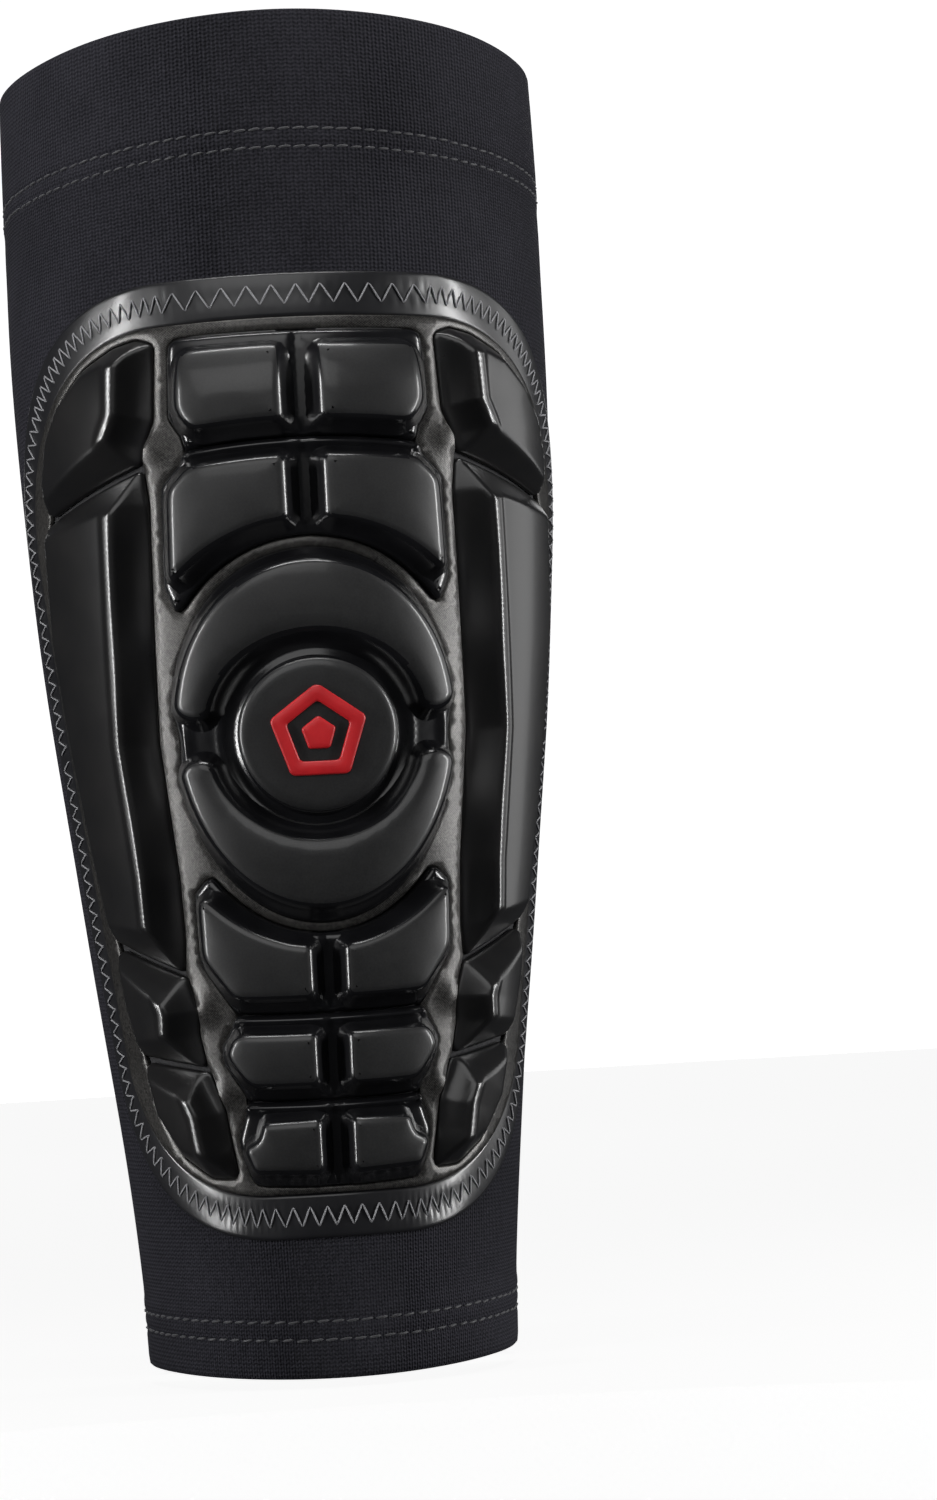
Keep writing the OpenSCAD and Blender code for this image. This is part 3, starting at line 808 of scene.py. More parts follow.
def on_border(share, inset):
    """Places at fractions round the pad's edge, moved inwards by inset mm."""
    at = (np.asarray(share) % 1.0) * EDGE_COUNT
    k = at.astype(int) % EDGE_COUNT
    part = (at - k)[:, None] % 1.0
    edge = EDGE[k] * (1 - part) + EDGE[(k + 1) % EDGE_COUNT] * part
    inward = INWARD[k] * (1 - part) + INWARD[(k + 1) % EDGE_COUNT] * part
    return edge + inward * np.asarray(inset).reshape(-1, 1)


def pad_outline(d):
    """The pad's outline moved inwards by d."""
    return on_border(np.arange(BORDER_COUNT) / BORDER_COUNT, d)


STITCH_INSET, STITCH_SWING, STITCH_THREAD_R = 4.2, 1.9, 0.18
PITCH_TOP, PITCH_BOTTOM, PITCH_SIDE = 2.15, 2.1, 1.5
PITCH_TOP_CORNER, PITCH_LOW_CORNER = 1.25, 1.75


def stitch_pitch(p):
    """Half the zigzag pitch: wide on the straight ends, close in the corners and down the sides."""
    u, z = abs(p[0]), p[1]
    if z > 190 and u < 24:
        return PITCH_TOP
    if z < 40 and u < 14:
        return PITCH_BOTTOM
    if z < 60:
        return PITCH_LOW_CORNER
    if z > 186:
        return PITCH_TOP_CORNER
    return PITCH_SIDE


def stitch_places():
    """Fractions round the pad's edge where the needle went in."""
    places, share = [], 0.0
    while share < 1:
        places.append(share)
        here = on_border([share], STITCH_INSET)[0]
        share += stitch_pitch(here) * rng.uniform(0.94, 1.06) / EDGE_LENGTH
    if len(places) % 2:
        places.pop()
    return np.array(places)


STITCHES = stitch_places()
TOP_GATHER_U, LOW_GATHER_U, GATHER_W = 31, 24, 9


def corner_share(p):
    """1 in the four corners of the pad, where the film is gathered, and 0 on its straight runs."""
    u, z = np.abs(p[:, 0]), p[:, 1]
    upper = np.exp(-((u - TOP_GATHER_U) / GATHER_W) ** 2) * (z > 180)
    lower = np.exp(-((u - LOW_GATHER_U) / GATHER_W) ** 2) * (z < 60)
    return upper + lower


def border_height(share, t, p):
    """Height of the border film: share is the fraction round it, t the inset in mm."""
    index = np.interp(share, STITCHES, np.arange(len(STITCHES)))
    phase = np.cos(2 * math.pi * index)
    band = np.exp(-((t - STITCH_INSET) / 2.0) ** 2)
    corner = corner_share(p)
    h = BORDER_T + 0.22 * np.sin(np.clip(t / BORDER_W, 0, 1) * math.pi)
    # drawn in along the seam and at each stitch, then gathered in the corners and waved all round
    h -= (0.14 + 0.12 * corner) * band
    h += (0.05 + 0.10 * corner) * band * phase * np.sin((t - STITCH_INSET) / STITCH_SWING * 1.3)
    h += 0.12 * corner * np.sin(index * 0.55) * np.exp(-((t - 2.2) / 2.4) ** 2)
    h += 0.10 * np.sin(index * 0.21 + 0.6) * np.exp(-((t - 3.0) / 3.0) ** 2)
    return h


def border_section():
    """(inset, fixed height or None) round the border's cross-section, outer edge first."""
    top = [0.5, 0.9, 1.4, 2.0, 2.6, 3.2, 3.8, 4.3, 4.8, 5.4, 6.0, 6.6, 7.2, 7.7, 8.1]
    return [(0.3, 0.05), (0.0, 0.2), (0.03, 0.5), (0.18, 0.76)] + [(t, None) for t in top] + \
        [(8.4, 0.62), (8.7, 0.4), (8.7, 0.15), (4.3, 0.12)]


def border(name, upper, nodes):
    """One half of the border film: its section carried round the pad, cut at the middle height."""
    share = np.arange(BORDER_COUNT) / BORDER_COUNT
    loops, lifts = [], []
    for inset, fixed in border_section():
        ring = on_border(share, inset)
        loops.append(ring)
        if fixed is None:
            lifts.append(border_height(share, inset, ring))
        else:
            lifts.append(np.full(BORDER_COUNT, fixed))
    loops, lifts = np.array(loops), np.array(lifts)
    z = loops[0, :, 1]
    wanted = z >= MIDDLE_Z if upper else z <= MIDDLE_Z
    start = next(k for k in range(BORDER_COUNT) if wanted[k] and not wanted[k - 1])
    picks = (start + np.arange(np.count_nonzero(wanted))) % BORDER_COUNT
    loops, lifts = loops[:, picks], lifts[:, picks]
    loops[:, [0, -1], 1] = MIDDLE_Z
    m, n = lifts.shape
    faces = grid_faces(m, n, wrap_rows=True, wrap_columns=False)
    faces.append(tuple(i * n for i in range(m)))
    faces.append(tuple(i * n + n - 1 for i in range(m))[::-1])
    obj = make_mesh(name, on_leg(loops[..., 0], loops[..., 1], lifts), faces, BORDER,
                    uv=loops.reshape(-1, 2) * MM)
    sharpen(obj, 70)
    finish_sewn(obj, nodes)


def zigzag_thread(name, upper, nodes):
    """The zigzag seam: each leg dives into the film at both ends."""
    runs = []
    for k in range(len(STITCHES)):
        a, b = STITCHES[k], STITCHES[(k + 1) % len(STITCHES)]
        if b < a:
            b += 1
        ends = on_border([a, b], STITCH_INSET)[:, 1]
        in_this_half = min(ends) >= MIDDLE_Z if upper else max(ends) <= MIDDLE_Z
        if not in_this_half:
            continue
        t = np.linspace(0, 1, 8)
        at = a + (b - a) * t
        inset = STITCH_INSET + STITCH_SWING * (1 - 2 * t) * (1 if k % 2 else -1)
        p = on_border(at, inset)
        film = border_height(at % 1, inset, p)
        rise = 0.34 * np.clip(np.sin(math.pi * t) * 3, 0, 1) - 0.16
        runs.append(on_leg(p[:, 0], p[:, 1], film + rise))
    obj = threads(name, runs, STITCH_THREAD_R, BORDER_THREAD)
    finish_sewn(obj, nodes)


# ---------------------------------------------------------------- islands and pads
# How the edge of each kind of pad is rounded, as loft() reads it.
BASE_RIM = [(0, "at", 1.15), (0.02, "under", 1.15), (0.22, "under", 0.72),
            (0.5, "under", 0.38), (0.9, "under", 0.14), (1.4, "under", 0.03), (1.9, "under", 0)]
PAD_RIM = [(-3.0, "at", 2.1), (-2.5, "at", 2.7), (-1.9, "at", 3.4), (-1.3, "at", 4.2),
           (-0.8, "at", 5.0), (-0.45, "under", 1.08), (-0.15, "under", 0.66), (0.15, "under", 0.36),
           (0.5, "under", 0.15), (0.95, "under", 0.03), (1.4, "under", 0)]
SIDE_RIM = [(0, "at", 1.15), (0.0, "under", 0.8), (0.08, "under", 0.42), (0.25, "under", 0.17),
            (0.5, "under", 0.04), (0.8, "under", 0)]
OVAL_SIZE = (31.0, 37.1)


def oval(start, end):
    """Part of the oval that rows 2 and 3 follow round the ring, from start to end degrees."""
    return arc((0, RING_Z), OVAL_SIZE, start, end, 16)


def plain(points):
    """Points as corners with no radius, for rounded()."""
    return [(p[0], p[1], 0) for p in points]


def both(right):
    """A whole outline from the corners of its right half, listed from the bottom up."""
    left = [(-c[0], c[1], c[2]) for c in right[::-1]]
    return rounded(right + left)


def groove_line(mid, drop):
    """A flex groove across the pad: its height at the middle, and its drop at both ends."""
    u = np.linspace(-24, 24, 25)
    return np.stack([u, mid - drop * (u / 24) ** 2], -1)


GROOVE_12 = groove_line(176.3, 1.7)
GROOVE_34 = groove_line(68.9, -0.7)
GROOVE_45 = groove_line(52.6, -0.6)


def base_top(below=None, above=None):
    """Base between the pads. It sinks towards the groove below it, and along the groove above it
    the film is drawn up into a bead."""
    def top(p):
        h = np.full(len(p), BASE_H)
        if below is not None:
            h = softer_min(h, 2.1 + 0.8 * distance(p, below), 0.4)
        h = softer_min(h, 2.3 + 0.7 * np.abs(p[:, 0]), 0.5)
        if above is not None:
            h = h + 1.25 * np.exp(-((distance(p, above) - 1.15) / 0.62) ** 2)
        return h
    return top


def on_line(line, u):
    """Height of a line of points at u."""
    return float(np.interp(u, line[:, 0], line[:, 1]))


GROOVE_GAP = 0.12


def above(line, u):
    """Height just above a groove line at u, where the base above it ends."""
    return on_line(line, u) + GROOVE_GAP


def under(line, u):
    """Height just under a groove line at u, where the base below it ends."""
    return on_line(line, u) - GROOVE_GAP


def row_base_outlines():
    """Outlines of the five row bases, which meet along the flex grooves."""
    g12, g34, g45 = GROOVE_12, GROOVE_34, GROOVE_45
    out = (0, 5, 10, 15)
    back = out[::-1]
    row_1 = both([(u, above(g12, u), 0) for u in out] +
                 [(20.3, above(g12, 20), 0.4), (21.0, 178.2, 1.5), (23.0, 181.4, 1.6),
                  (22.2, 196.3, 2.4)])
    row_2 = both(plain(oval(88, 44)) +
                 [(24.2, 144.8, 1.2), (26.2, 150.0, 2.5), (25.2, 168.8, 2.6),
                  (20.9, 173.2, 1.8), (20.3, under(g12, 20), 0.4)] +
                 [(u, under(g12, u), 0) for u in back])
    row_3 = both([(u, above(g34, u), 0) for u in out] +
                 [(20.0, above(g34, 20), 0.4), (21.2, 71.0, 1.2), (27.2, 79.2, 2.5),
                  (26.7, 92.6, 1.6), (23.6, 95.2, 1.6)] +
                 plain(oval(316, 272)))
    row_4 = both([(u, above(g45, u), 0) for u in out] +
                 [(19.4, above(g45, 19), 0.4), (20.0, 54.9, 1.2), (24.0, 60.2, 2.0),
                  (24.2, 63.6, 2.0), (20.7, 68.0, 1.2), (20.0, under(g34, 20), 0.4)] +
                 [(u, under(g34, u), 0) for u in back])
    row_5 = both([(0, 36.6, 0), (10, 36.8, 0), (19.6, 37.3, 1.8), (22.4, 45.6, 2.4),
                  (20.0, 50.9, 1.2), (19.4, under(g45, 19), 0.4)] +
                 [(u, under(g45, u), 0) for u in back])
    return row_1, row_2, row_3, row_4, row_5


ROW_1, ROW_2, ROW_3, ROW_4, ROW_5 = row_base_outlines()


def crowned(loop, height, crown=0.35):
    """A pad's top: it swells slightly away from its edge."""
    def top(p):
        d = distance(p, loop, closed=True)
        return height + crown * (1 - np.exp(-d / 3.0))
    return top


PAD_WALL, HALF_GAP, PAD_CORNER = 2.9, 3.3, 1.1


def pad_from(island, low=None, high=None):
    """The right raised pad of an island: its outline moved in by the width of the wall, cut off
    beside the middle, and kept clear of the grooves low and high, given as (line, margin)."""
    edge = anticlockwise(resample(island, 0.8))
    loop = moved_in(edge, PAD_WALL)
    loop = loop[distance(loop, edge, closed=True) > PAD_WALL - 0.08]
    loop = resample(loop, 0.8)
    loop = np.roll(loop, -int(np.argmin(loop[:, 0])), 0)
    if low is not None:
        floor = np.interp(loop[:, 0], low[0][:, 0], low[0][:, 1]) + low[1]
        loop[:, 1] = np.maximum(loop[:, 1], floor)
    if high is not None:
        roof = np.interp(loop[:, 0], high[0][:, 0], high[0][:, 1]) - high[1]
        loop[:, 1] = np.minimum(loop[:, 1], roof)
    for _ in range(4):
        loop = (np.roll(loop, 1, 0) + 2 * loop + np.roll(loop, -1, 0)) / 4
    right = loop[loop[:, 0] > HALF_GAP]
    clear = right[right[:, 0] > HALF_GAP + 2.8]
    return rounded([(HALF_GAP, right[0, 1], PAD_CORNER)] + plain(clear) +
                   [(HALF_GAP, right[-1, 1], PAD_CORNER)])


LOW_MARGIN, HIGH_MARGIN = 2.9, 3.9
TOP_LINE = np.array([[-60.0, 194.2], [60.0, 194.2]])
ROW_1_PAD = pad_from(ROW_1, (GROOVE_12, LOW_MARGIN), (TOP_LINE, 0.0))
ROW_2_PAD = pad_from(ROW_2, None, (GROOVE_12, HIGH_MARGIN))
ROW_3_PAD = pad_from(ROW_3, (GROOVE_34, LOW_MARGIN), None)
ROW_4_PAD = pad_from(ROW_4, (GROOVE_45, LOW_MARGIN), (GROOVE_34, HIGH_MARGIN))
ROW_5_PAD = rounded([(HALF_GAP, 39.2, PAD_CORNER), (17.6, 39.8, 1.4), (19.4, 44.2, 1.2),
                     (16.4, 45.4, 2.6), (14.9, 48.7, 1.1), (HALF_GAP, 48.9, PAD_CORNER)])


def ramped(loop, height, start, slope):
    """A crowned top that falls away above the height start on the leg."""
    flat = crowned(loop, height)

    def top(p):
        return softer_min(flat(p), height + 0.4 - slope * (p[:, 1] - start), 1.6)
    return top


def crescent(upper):
    """A crescent between the oval and the circle round the centre pad, with round ends."""
    if upper:
        outer = arc((0, RING_Z), (25.0, 31.9), 12, 168, 48)
        inner = arc((0, DISC_Z), (19.0, 18.6), 160, 20, 40)
    else:
        outer = arc((0, RING_Z), (25.0, 32.3), 192, 348, 48)
        inner = arc((0, DISC_Z), (19.0, 18.6), 340, 200, 40)
    ends = []
    for a, b in ((outer[-1], inner[0]), (inner[-1], outer[0])):
        middle, half = (a + b) / 2, (a - b) / 2
        bulge = np.array([0.0, -2.6 if upper else 2.6])
        t = np.radians(np.linspace(0, 180, 13))[1:-1]
        ends.append(middle + half * np.cos(t)[:, None] + bulge * np.sin(t)[:, None])
    return anticlockwise(np.vstack([outer, ends[0], inner, ends[1]]))


def crescent_top(loop):
    """A crescent's crowned top, which leans down in a wide cove towards the centre pad."""
    flat = crowned(loop, PAD_H, 0.5)

    def top(p):
        r = np.hypot(p[:, 0], p[:, 1] - DISC_Z)
        return softer_min(flat(p), PAD_H - 1.5 + 0.85 * (r - 18.3), 0.9)
    return top


def ring_outline():
    """The ring's outline: an oval drawn in a little at both saddles beside the centre pad."""
    loop = arc((0, RING_Z), (27.4, 34.6), 0, 360, 120)[:-1]
    a = np.arctan2(loop[:, 1] - DISC_Z, np.abs(loop[:, 0]))
    pinch = 1 - 0.045 * np.exp(-(a / 0.17) ** 2)
    return np.array([0, RING_Z]) + (loop - np.array([0, RING_Z])) * pinch[:, None]


RING = ring_outline()


def ring_top(p):
    """The ring's base: a hollow round the centre pad, a thin collar and a lip at the saddles."""
    r = np.hypot(p[:, 0] * 1.04, p[:, 1] - DISC_Z)
    h = BASE_H - 0.7 * np.exp(-((r - 16.4) / 1.3) ** 2) + 0.3 * np.exp(-((r - 18.6) / 0.6) ** 2)
    saddle = np.exp(-((p[:, 1] - DISC_Z) / 4.5) ** 2)
    return h + 0.75 * saddle * np.exp(-((np.abs(p[:, 0]) - 24.4) / 0.9) ** 2)


DISC = arc((0, DISC_Z), (13.8, 14.5), 0, 360, 72)[:-1]
DISC_RIM = [(-0.9, "at", BASE_H - 0.9), (-0.6, "at", BASE_H - 0.3), (-0.3, "at", BASE_H + 0.5),
            (-0.1, "at", BASE_H + 1.6), (0.1, "under", 1.4), (0.35, "under", 0.8),
            (0.7, "under", 0.42), (1.2, "under", 0.17), (1.8, "under", 0.04), (2.4, "under", 0)]


def disc_top(p):
    """The centre pad's face is flatter than the leg: it keeps half of the leg's roundness."""
    face = float(leg_r(DISC_Z)) + DISC_H
    return DISC_H + 0.5 * (face / np.cos(p[:, 0] / WRAP_R) - face)


# Side pads: the inner and the outer edge of each, on the right side, from the bottom to the top.
WING_IN = np.array([[29.0, 173.6], [28.4, 176.8], [26.2, 181.5], [25.1, 195.8]])
WING_OUT = np.array([[53.0, 166.2], [53.4, 173.5], [51.0, 181.5], [46.5, 188.0],
                     [40.0, 193.2], [33.0, 196.2], [28.5, 197.0]])
RAIL_IN = np.array([[31.6, 77.9], [30.6, 84.0], [30.2, 96.0], [31.2, 121.0], [29.2, 150.0],
                    [28.2, 166.0], [28.8, 172.7]])
RAIL_OUT = np.array([[50.2, 84.6], [52.2, 100.0], [54.2, 121.0], [55.4, 142.0], [53.9, 165.1]])
BLOCK_IN = np.array([[28.8, 59.8], [29.9, 66.0], [29.4, 70.5], [31.2, 77.0]])
BLOCK_OUT = np.array([[46.6, 62.6], [49.0, 72.0], [49.9, 83.6]])
CORNER_IN = np.array([[23.6, 38.6], [24.8, 46.0], [25.4, 51.5], [28.2, 58.9]])
CORNER_OUT = np.array([[30.5, 38.9], [38.0, 43.0], [43.8, 50.4], [46.3, 61.6]])


def side_outline(inner, outer):
    """Outline from an inner and an outer edge, with rounded ends."""
    corners = [(*inner[0], 1.0), (*outer[0], 1.4)]
    corners += [(*p, 3.0) for p in outer[1:-1]]
    corners += [(*outer[-1], 1.6), (*inner[-1], 1.2)]
    corners += [(*p, 3.0) for p in inner[-2:0:-1]]
    return rounded(corners)


def side_top(inner, outer, crest, shelf, reach, ends):
    """Height of a side pad: a hollow inner wall rises to a flat ridge with two shoulders, the
    outer face falls gently to a steeper rim, and both ends slope like a hipped roof."""
    low_end = np.array([inner[0], outer[0]])
    high_end = np.array([inner[-1], outer[-1]])
    foot, ridge_w, ridge_step, rim_slope = 1.9, 1.5, 0.45, 1.15

    def top(p):
        d_in = distance(p, inner)
        d_out = distance(p, outer)
        hollow = 1.75 + 0.5 * np.cos(2 * math.pi * (p[:, 1] - MIDDLE_Z) / 31)
        wall = foot + (crest + 0.4 - foot) * np.clip(d_in / reach, 0, 1.5) ** hollow
        past = d_in - reach - ridge_w
        run = np.maximum(d_in + d_out - reach - ridge_w, 2.0)
        face = shelf + (crest - ridge_step - shelf) * np.clip(d_out / run, 0, 1.0)
        shoulder = crest + 0.1 - 0.9 * past
        h = -softer_min(-face, -shoulder, 0.3)
        h = softer_min(h, np.full(len(p), crest), 0.22)
        h = softer_min(h, wall, 0.25)
        h = softer_min(h, foot + rim_slope * d_out, 0.35)
        h = softer_min(h, foot + ends[0] * distance(p, low_end), 0.35)
        return softer_min(h, foot + ends[1] * distance(p, high_end), 0.35)
    return top


def finish_pad(obj, node, body):
    """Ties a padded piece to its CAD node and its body."""
    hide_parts(node)
    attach(obj, body)


# steepness past which pad faces take the darker base film: partly painted shade on the walls
WALL_ANGLE, DISC_WALL_ANGLE = 33, 50
RAMP_FROM, RAMP_SLOPE = 187.5, 0.47


def satin_pad(name, shape, rim, top, steepest):
    """A raised pad with a satin top and glossy walls; the walls' darker colour is partly painted shade.
    """
    obj = loft(name, shape, rim, top, PAD)
    split_walls(obj, BASE, steepest)
    return obj


def build_rows():
    """The five row bases and the two raised pads on each."""
    bases = (
        ("row_1_base", ROW_1, "calf", base_top(below=GROOVE_12)),
        ("row_2_base", ROW_2, "shin", base_top(above=GROOVE_12)),
        ("row_3_base", ROW_3, "shin", base_top(below=GROOVE_34)),
        ("row_4_base", ROW_4, "ankle", base_top(below=GROOVE_45, above=GROOVE_34)),
        ("row_5_base", ROW_5, "ankle", base_top(above=GROOVE_45)),
    )
    for node, loop, body, top in bases:
        obj = loft("moulded_" + node, loop, BASE_RIM, top, BASE)
        finish_pad(obj, node, body)
    pads = ((1, ROW_1_PAD, "calf"), (2, ROW_2_PAD, "shin"), (3, ROW_3_PAD, "shin"),
            (4, ROW_4_PAD, "ankle"), (5, ROW_5_PAD, "ankle"))
    for row, loop, body in pads:
        for side, shape in (("right", loop), ("left", mirrored(loop))):
            top = crowned(shape, PAD_H)
            if row == 1:
                top = ramped(shape, PAD_H, RAMP_FROM, RAMP_SLOPE)
            obj = satin_pad(f"raised_pad_{row}_{side}", shape, PAD_RIM, top, WALL_ANGLE)
            finish_pad(obj, f"row_{row}_pad_{side}", body)


def build_centre():
    """The ring base, both crescents, the centre pad and its badge."""
    obj = loft("moulded_ring_base", RING, BASE_RIM, ring_top, BASE, fill_step=0.75)
    finish_pad(obj, "ring_base", "shin")
    for upper, name in ((True, "upper_crescent"), (False, "lower_crescent")):
        shape = crescent(upper)
        obj = satin_pad("raised_" + name, shape, PAD_RIM, crescent_top(shape), WALL_ANGLE)
        finish_pad(obj, name + "_pad", "shin")
    obj = satin_pad("raised_centre_pad", DISC, DISC_RIM, disc_top, DISC_WALL_ANGLE)
    finish_pad(obj, "centre_pad", "shin")
    build_badge()


BADGE_R, BADGE_LIFT, BADGE_POINTS = 9.4, 0.75, 160


def pentagon(radius, corner):
    """A regular pentagon, point up, with rounded corners."""
    turns = [math.radians(90 + 72 * k) for k in range(5)]
    stretch = WRAP_R / (float(leg_r(DISC_Z)) + DISC_H)
    return rounded([(radius * math.cos(a) * stretch, DISC_Z + radius * math.sin(a), corner)
                    for a in turns], step=12)


def build_badge():
    """Plain badge: a raised pentagon ring round a small pentagon."""
    # (inset, height above the centre pad) up the ring's side; slant turns an inset square to a
    # side of the pentagon into one towards its corner
    steps = [(0.0, -0.2), (0.0, BADGE_LIFT - 0.35), (0.12, BADGE_LIFT - 0.12), (0.35, BADGE_LIFT)]
    slant = 1.24
    around = [(BADGE_R - inset * slant, 1.3, rise) for inset, rise in steps]
    around += [(BADGE_R * 0.66 + inset * slant, 0.9, rise) for inset, rise in steps[::-1]]
    loops, lifts = [], []
    for radius, corner, rise in around:
        loop = spaced(pentagon(radius, corner), BADGE_POINTS)[0]
        loops.append(loop)
        lifts.append(disc_top(loop) + rise)
    loops = np.array(loops)
    faces = grid_faces(len(loops), BADGE_POINTS, wrap_rows=True)
    ring = make_mesh("badge_ring", on_leg(loops[..., 0], loops[..., 1], np.array(lifts)), faces,
                     BADGE, uv=loops.reshape(-1, 2) * MM)
    rim = [(0, "at", DISC_H - 0.2), (0.0, "under", 0.35), (0.12, "under", 0.12), (0.35, "under", 0)]
    heart = loft("badge_heart", pentagon(BADGE_R * 0.36, 0.6), rim,
                 lambda p: disc_top(p) + BADGE_LIFT, BADGE, fill_step=0.8, edge_step=0.4)
    for obj in (ring, heart):
        sharpen(obj, 60)
        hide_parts("badge")
        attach(obj, "shin")


# node, inner and outer edge, body, ridge height, height of the outer face's foot, width of the
# inner wall, slopes of the lower and the upper end
SIDES = (
    ("wing_pad", WING_IN, WING_OUT, "calf", 6.9, 4.0, 4.9, (0.85, 1.1)),
    ("side_rail", RAIL_IN, RAIL_OUT, "shin", 7.0, 4.6, 4.9, (0.8, 0.8)),
    ("side_block", BLOCK_IN, BLOCK_OUT, "ankle", 6.7, 4.2, 5.0, (0.95, 0.8)),
    ("corner_block", CORNER_IN, CORNER_OUT, "ankle", 6.5, 4.0, 4.8, (1.05, 0.8)),
)


def build_sides():
    """Wing pads, side rails, side blocks and corner blocks on both sides."""
    for node, inner, outer, body, crest, shelf, reach, ends in SIDES:
        for side, sign in (("right", 1), ("left", -1)):
            flip = np.array([sign, 1.0])
            loop = side_outline(inner, outer) * flip
            top = side_top(inner * flip, outer * flip, crest, shelf, reach, ends)
            obj = loft(f"raised_{node}_{side}", loop, SIDE_RIM, top, SIDE,
                       fill_step=0.6, edge_step=0.6)
            finish_pad(obj, f"{node}_{side}", body)


# ---------------------------------------------------------------- film between the islands
def side_strip():
    """One outline round the four side pads of the right side. The film is cut away in the gaps between
    them too, so the darkened foam shows there as painted shade.
    """
    inner = np.vstack([CORNER_IN, BLOCK_IN, RAIL_IN, WING_IN])
    outer = np.vstack([CORNER_OUT, BLOCK_OUT, RAIL_OUT, WING_OUT])
    return rounded([(*p, 1.5) for p in np.vstack([outer, inner[::-1]])])


def film_holes():
    """Outlines cut out of the film for everything moulded through it."""
    strip = side_strip()
    return [ROW_1, ROW_2, ROW_3, ROW_4, ROW_5, RING, strip, mirrored(strip)]


DIAMONDS = np.array([[27.2, 176.0], [27.9, 71.0], [24.9, 54.6]])
DIAMOND_RISE, DIAMOND_R = 0.9, 2.6


def film_height(p):
    """The film, bulging a little in the diamonds beside the grooves."""
    h = np.full(len(p), FILM_TOP)
    for u, z in DIAMONDS:
        away = np.hypot(np.abs(p[:, 0]) - u, p[:, 1] - z)
        h += DIAMOND_RISE * np.exp(-(away / DIAMOND_R) ** 2)
    return h


CREVICE = 0.22


def split_line(half, count):
    """Points across the pad at the middle height, where film and foam are parted."""
    return np.stack([np.linspace(-half, half, count), np.full(count, MIDDLE_Z)], -1)


def film_mesh():
    """Points of the whole film, its triangles, and how many of the points lie on its edges."""
    holes = [moved_in(anticlockwise(resample(h, 1.0)), -CREVICE) for h in film_holes()]
    edge = anticlockwise(resample(pad_outline(BORDER_W + 0.25), 1.2))
    soft = [moved_in(edge, 0.35)] + [moved_in(h, -0.3) for h in holes]
    field = grid_points(edge, 1.5)
    for line in soft + holes:
        field = field[distance(field, line, closed=True) > 0.45]
    field = field[np.abs(field[:, 1] - MIDDLE_Z) > 0.4]
    split = split_line(61, 110)

    def keep(places):
        good = inside(places, edge)
        for h in holes:
            good &= ~inside(places, h)
        return good
    extra = np.vstack([*soft, split[inside(split, edge)], field])
    loops = [edge] + holes
    points = np.vstack(loops + [extra[keep(extra)]])
    counts = [len(x) for x in loops]
    return points, triangles(points, counts, keep), sum(counts)


def build_film():
    """The film over the foam sheet: one sheet with moulded islands, parted at mid height."""
    points, faces, rim_count = film_mesh()
    lift = film_height(points)
    lift[:rim_count] = FILM_TOP - CREVICE
    for upper, name in ((True, "outer_film_upper"), (False, "outer_film_lower")):
        chosen = [f for f in faces if (points[list(f)].mean(0)[1] > MIDDLE_Z) == upper]
        obj = thick_sheet("pad_" + name, points, lift, chosen, FILM_T, FIELD)
        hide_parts(name, "outer_film_middle")
        follow_film(obj, upper)


def build_foam():
    """The thin foam sheet between the film and the knit."""
    for upper, name in ((True, "foam_sheet_upper"), (False, "foam_sheet_lower")):
        loop = anticlockwise(resample(pad_outline(BORDER_W + 0.9), 2.2))
        field = grid_points(loop, 3.0)
        field = np.vstack([field[np.abs(field[:, 1] - MIDDLE_Z) > 0.8], split_line(59, 50)])
        points = np.vstack([loop, field])
        faces = triangles(points, [len(loop)], lambda c: inside(c, loop))
        faces = [f for f in faces if (points[list(f)].mean(0)[1] > MIDDLE_Z) == upper]
        obj = thick_sheet("inner_" + name, points, np.full(len(points), FOAM_TOP), faces,
                          FOAM_T, FOAM)
        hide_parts(name, "foam_sheet_middle")
        follow_film(obj, upper)


# ---------------------------------------------------------------- studio
def backdrop():
    """A white room: round floor, cove, wall and dome. It glows for the camera, and throws no
    light on the guard."""
    floor_z, floor_r, cove, height, sides = -0.0015, 2.2, 0.5, 1.6, 64
    line = [(floor_r, floor_z)]
    line += [(floor_r + cove * math.sin(a), floor_z + cove * (1 - math.cos(a)))
             for a in np.radians(np.arange(10, 91, 10))]
    line += [((floor_r + cove) * math.cos(a), height + (floor_r + cove) * math.sin(a))
             for a in np.radians(np.arange(0, 90, 10))]
    turns = np.radians(np.arange(sides) * 360 / sides)
    verts = [(r * math.cos(t), r * math.sin(t), z) for r, z in line for t in turns]
    faces = [tuple(range(sides)), tuple((len(line) - 1) * sides + k for k in range(sides))]
    faces += grid_faces(len(line), sides)
    white = Shader("backdrop")
    white.set(Base_Color=(0.85, 0.85, 0.85, 1), Roughness=0.9,
              Emission_Color=(0.85, 0.85, 0.85, 1), Emission_Strength=1.1)
    obj = make_mesh("backdrop", verts, faces, white.material)
    obj.visible_diffuse = False
    obj.visible_glossy = False
    obj.visible_shadow = False


# name, place in metres, width and height in metres, watts
LIGHTS = (
    ("left_strip", (-0.96, -0.36, 0.16), (0.07, 0.66), 9),
    ("right_strip", (0.96, -0.32, 0.16), (0.07, 0.66), 8.5),
    ("right_back", (0.95, 0.25, 0.2), (0.4, 0.6), 1.4),
    ("front_box", (-0.25, -1.15, 0.75), (1.2, 0.9), 6),
    ("top_strip", (-0.05, -0.28, 1.25), (0.8, 0.08), 6.5),
    ("back_fill", (0.1, 1.5, 0.7), (1.2, 0.8), 4),
)


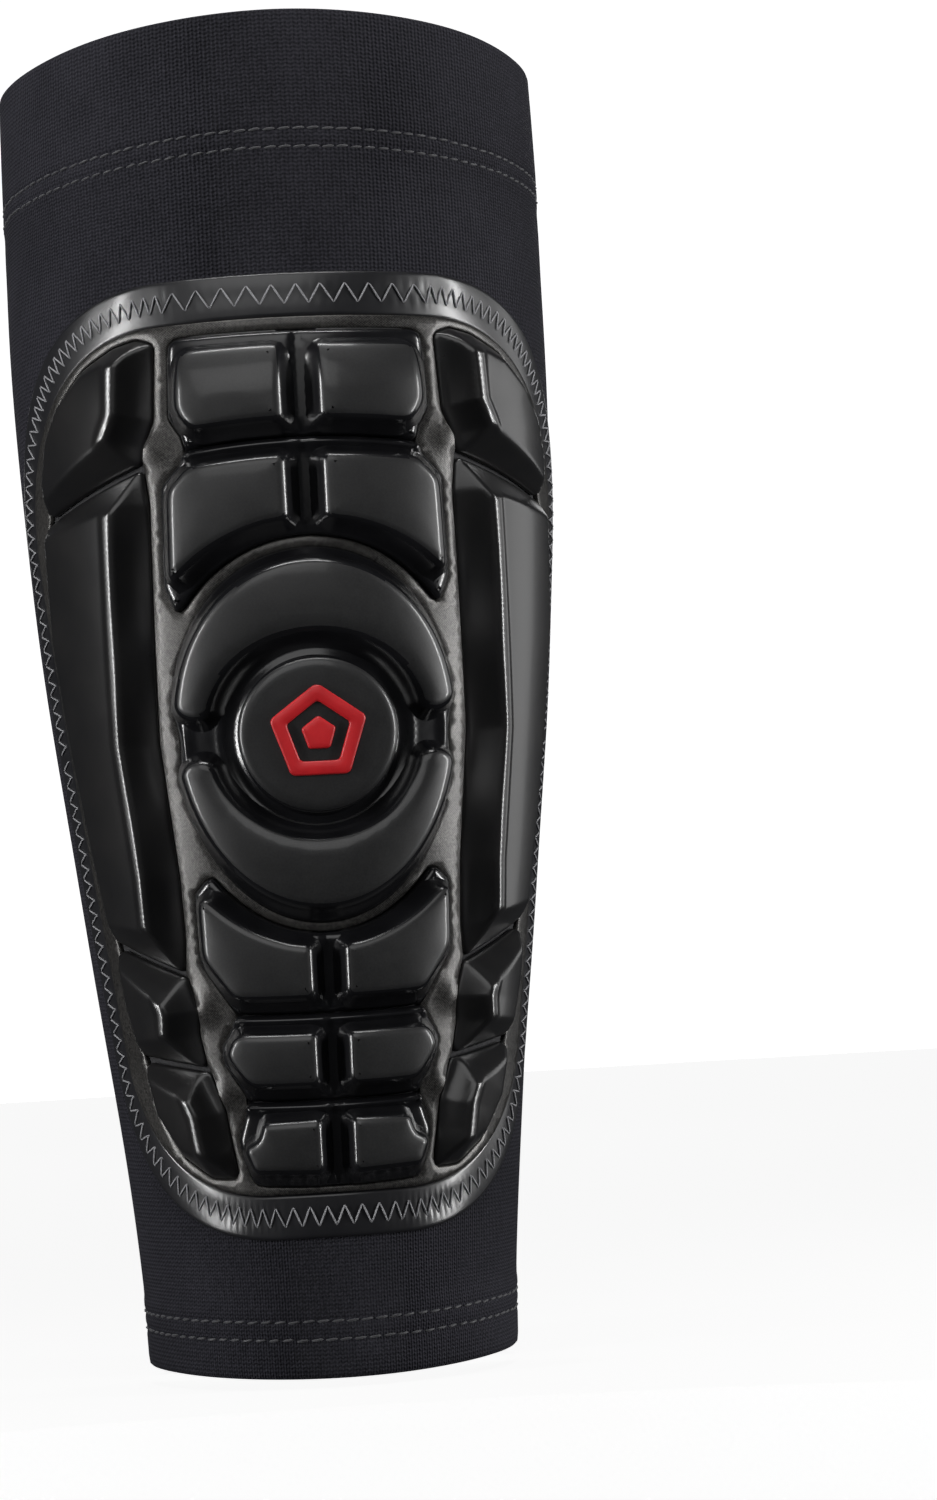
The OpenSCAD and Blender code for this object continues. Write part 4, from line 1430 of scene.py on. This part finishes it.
def studio():
    """Soft lights, all turned to the middle of the guard, and a faint even sky."""
    aim = Vector((0, 0, 0.13))
    for name, place, size, power in LIGHTS:
        data = bpy.data.lights.new(name, "AREA")
        data.shape = "RECTANGLE"
        data.size, data.size_y = size
        data.energy = power
        obj = bpy.data.objects.new(name, data)
        bpy.context.scene.collection.objects.link(obj)
        obj.location = place
        obj.rotation_euler = (aim - Vector(place)).to_track_quat("-Z", "Y").to_euler()
    world = bpy.data.worlds.new("studio")
    world.use_nodes = True
    sky = world.node_tree.nodes["Background"].inputs
    sky["Color"].default_value = (0.9, 0.93, 1.0, 1)
    sky["Strength"].default_value = 0.03
    bpy.context.scene.world = world
    bpy.context.scene.view_settings.view_transform = "Standard"


def camera():
    """The photo's view: from a little left of the pad's centre, below mid height, rolled."""
    away, height, side = 0.760, 0.074, math.radians(-3.5)
    aim_right, aim_height = 0.0334, 0.1193
    view_angle, roll = math.radians(22.3), math.radians(-3.4)
    place = Vector((away * math.sin(side), -away * math.cos(side), height))
    aim = Vector((math.cos(side), math.sin(side), 0)) * aim_right + Vector((0, 0, aim_height))
    data = bpy.data.cameras.new("camera")
    data.sensor_width = 36.0
    data.lens = data.sensor_width / (2 * math.tan(view_angle / 2))
    data.clip_start, data.clip_end = 0.05, 20
    obj = bpy.data.objects.new("camera", data)
    bpy.context.scene.collection.objects.link(obj)
    look = (aim - place).to_track_quat("-Z", "Y").to_matrix().to_4x4()
    obj.matrix_world = Matrix.Translation(place) @ look @ Matrix.Rotation(roll, 4, "Z")
    bpy.context.scene.camera = obj


# ---------------------------------------------------------------- build
sleeve("knit_sleeve_upper", MIDDLE_Z, SLEEVE_TOP, ("sleeve_upper", "top_cuff", "sleeve_middle"))
sleeve("knit_sleeve_lower", 0.0, MIDDLE_Z, ("sleeve_lower", "bottom_cuff", "sleeve_middle"))
hem_stitches("hem_thread_top", STITCH_ROWS_TOP, "top_cuff_stitching", "calf")
hem_stitches("hem_thread_bottom", STITCH_ROWS_BOTTOM, "bottom_cuff_stitching", "ankle")
back_seam("seam_thread_upper", MIDDLE_Z, TOP_CUFF_LOW, ("back_seam_upper", "back_seam_middle"))
back_seam("seam_thread_lower", BOTTOM_CUFF_TOP, MIDDLE_Z,
          ("back_seam_lower", "back_seam_middle"))
border("sewn_border_upper", True, ("border_film_upper", "border_film_middle"))
border("sewn_border_lower", False, ("border_film_lower", "border_film_middle"))
zigzag_thread("zigzag_thread_upper", True, ("border_stitching_upper", "border_stitching_middle"))
zigzag_thread("zigzag_thread_lower", False, ("border_stitching_lower", "border_stitching_middle"))
build_foam()
build_film()
build_rows()
build_centre()
build_sides()
backdrop()
studio()
camera()
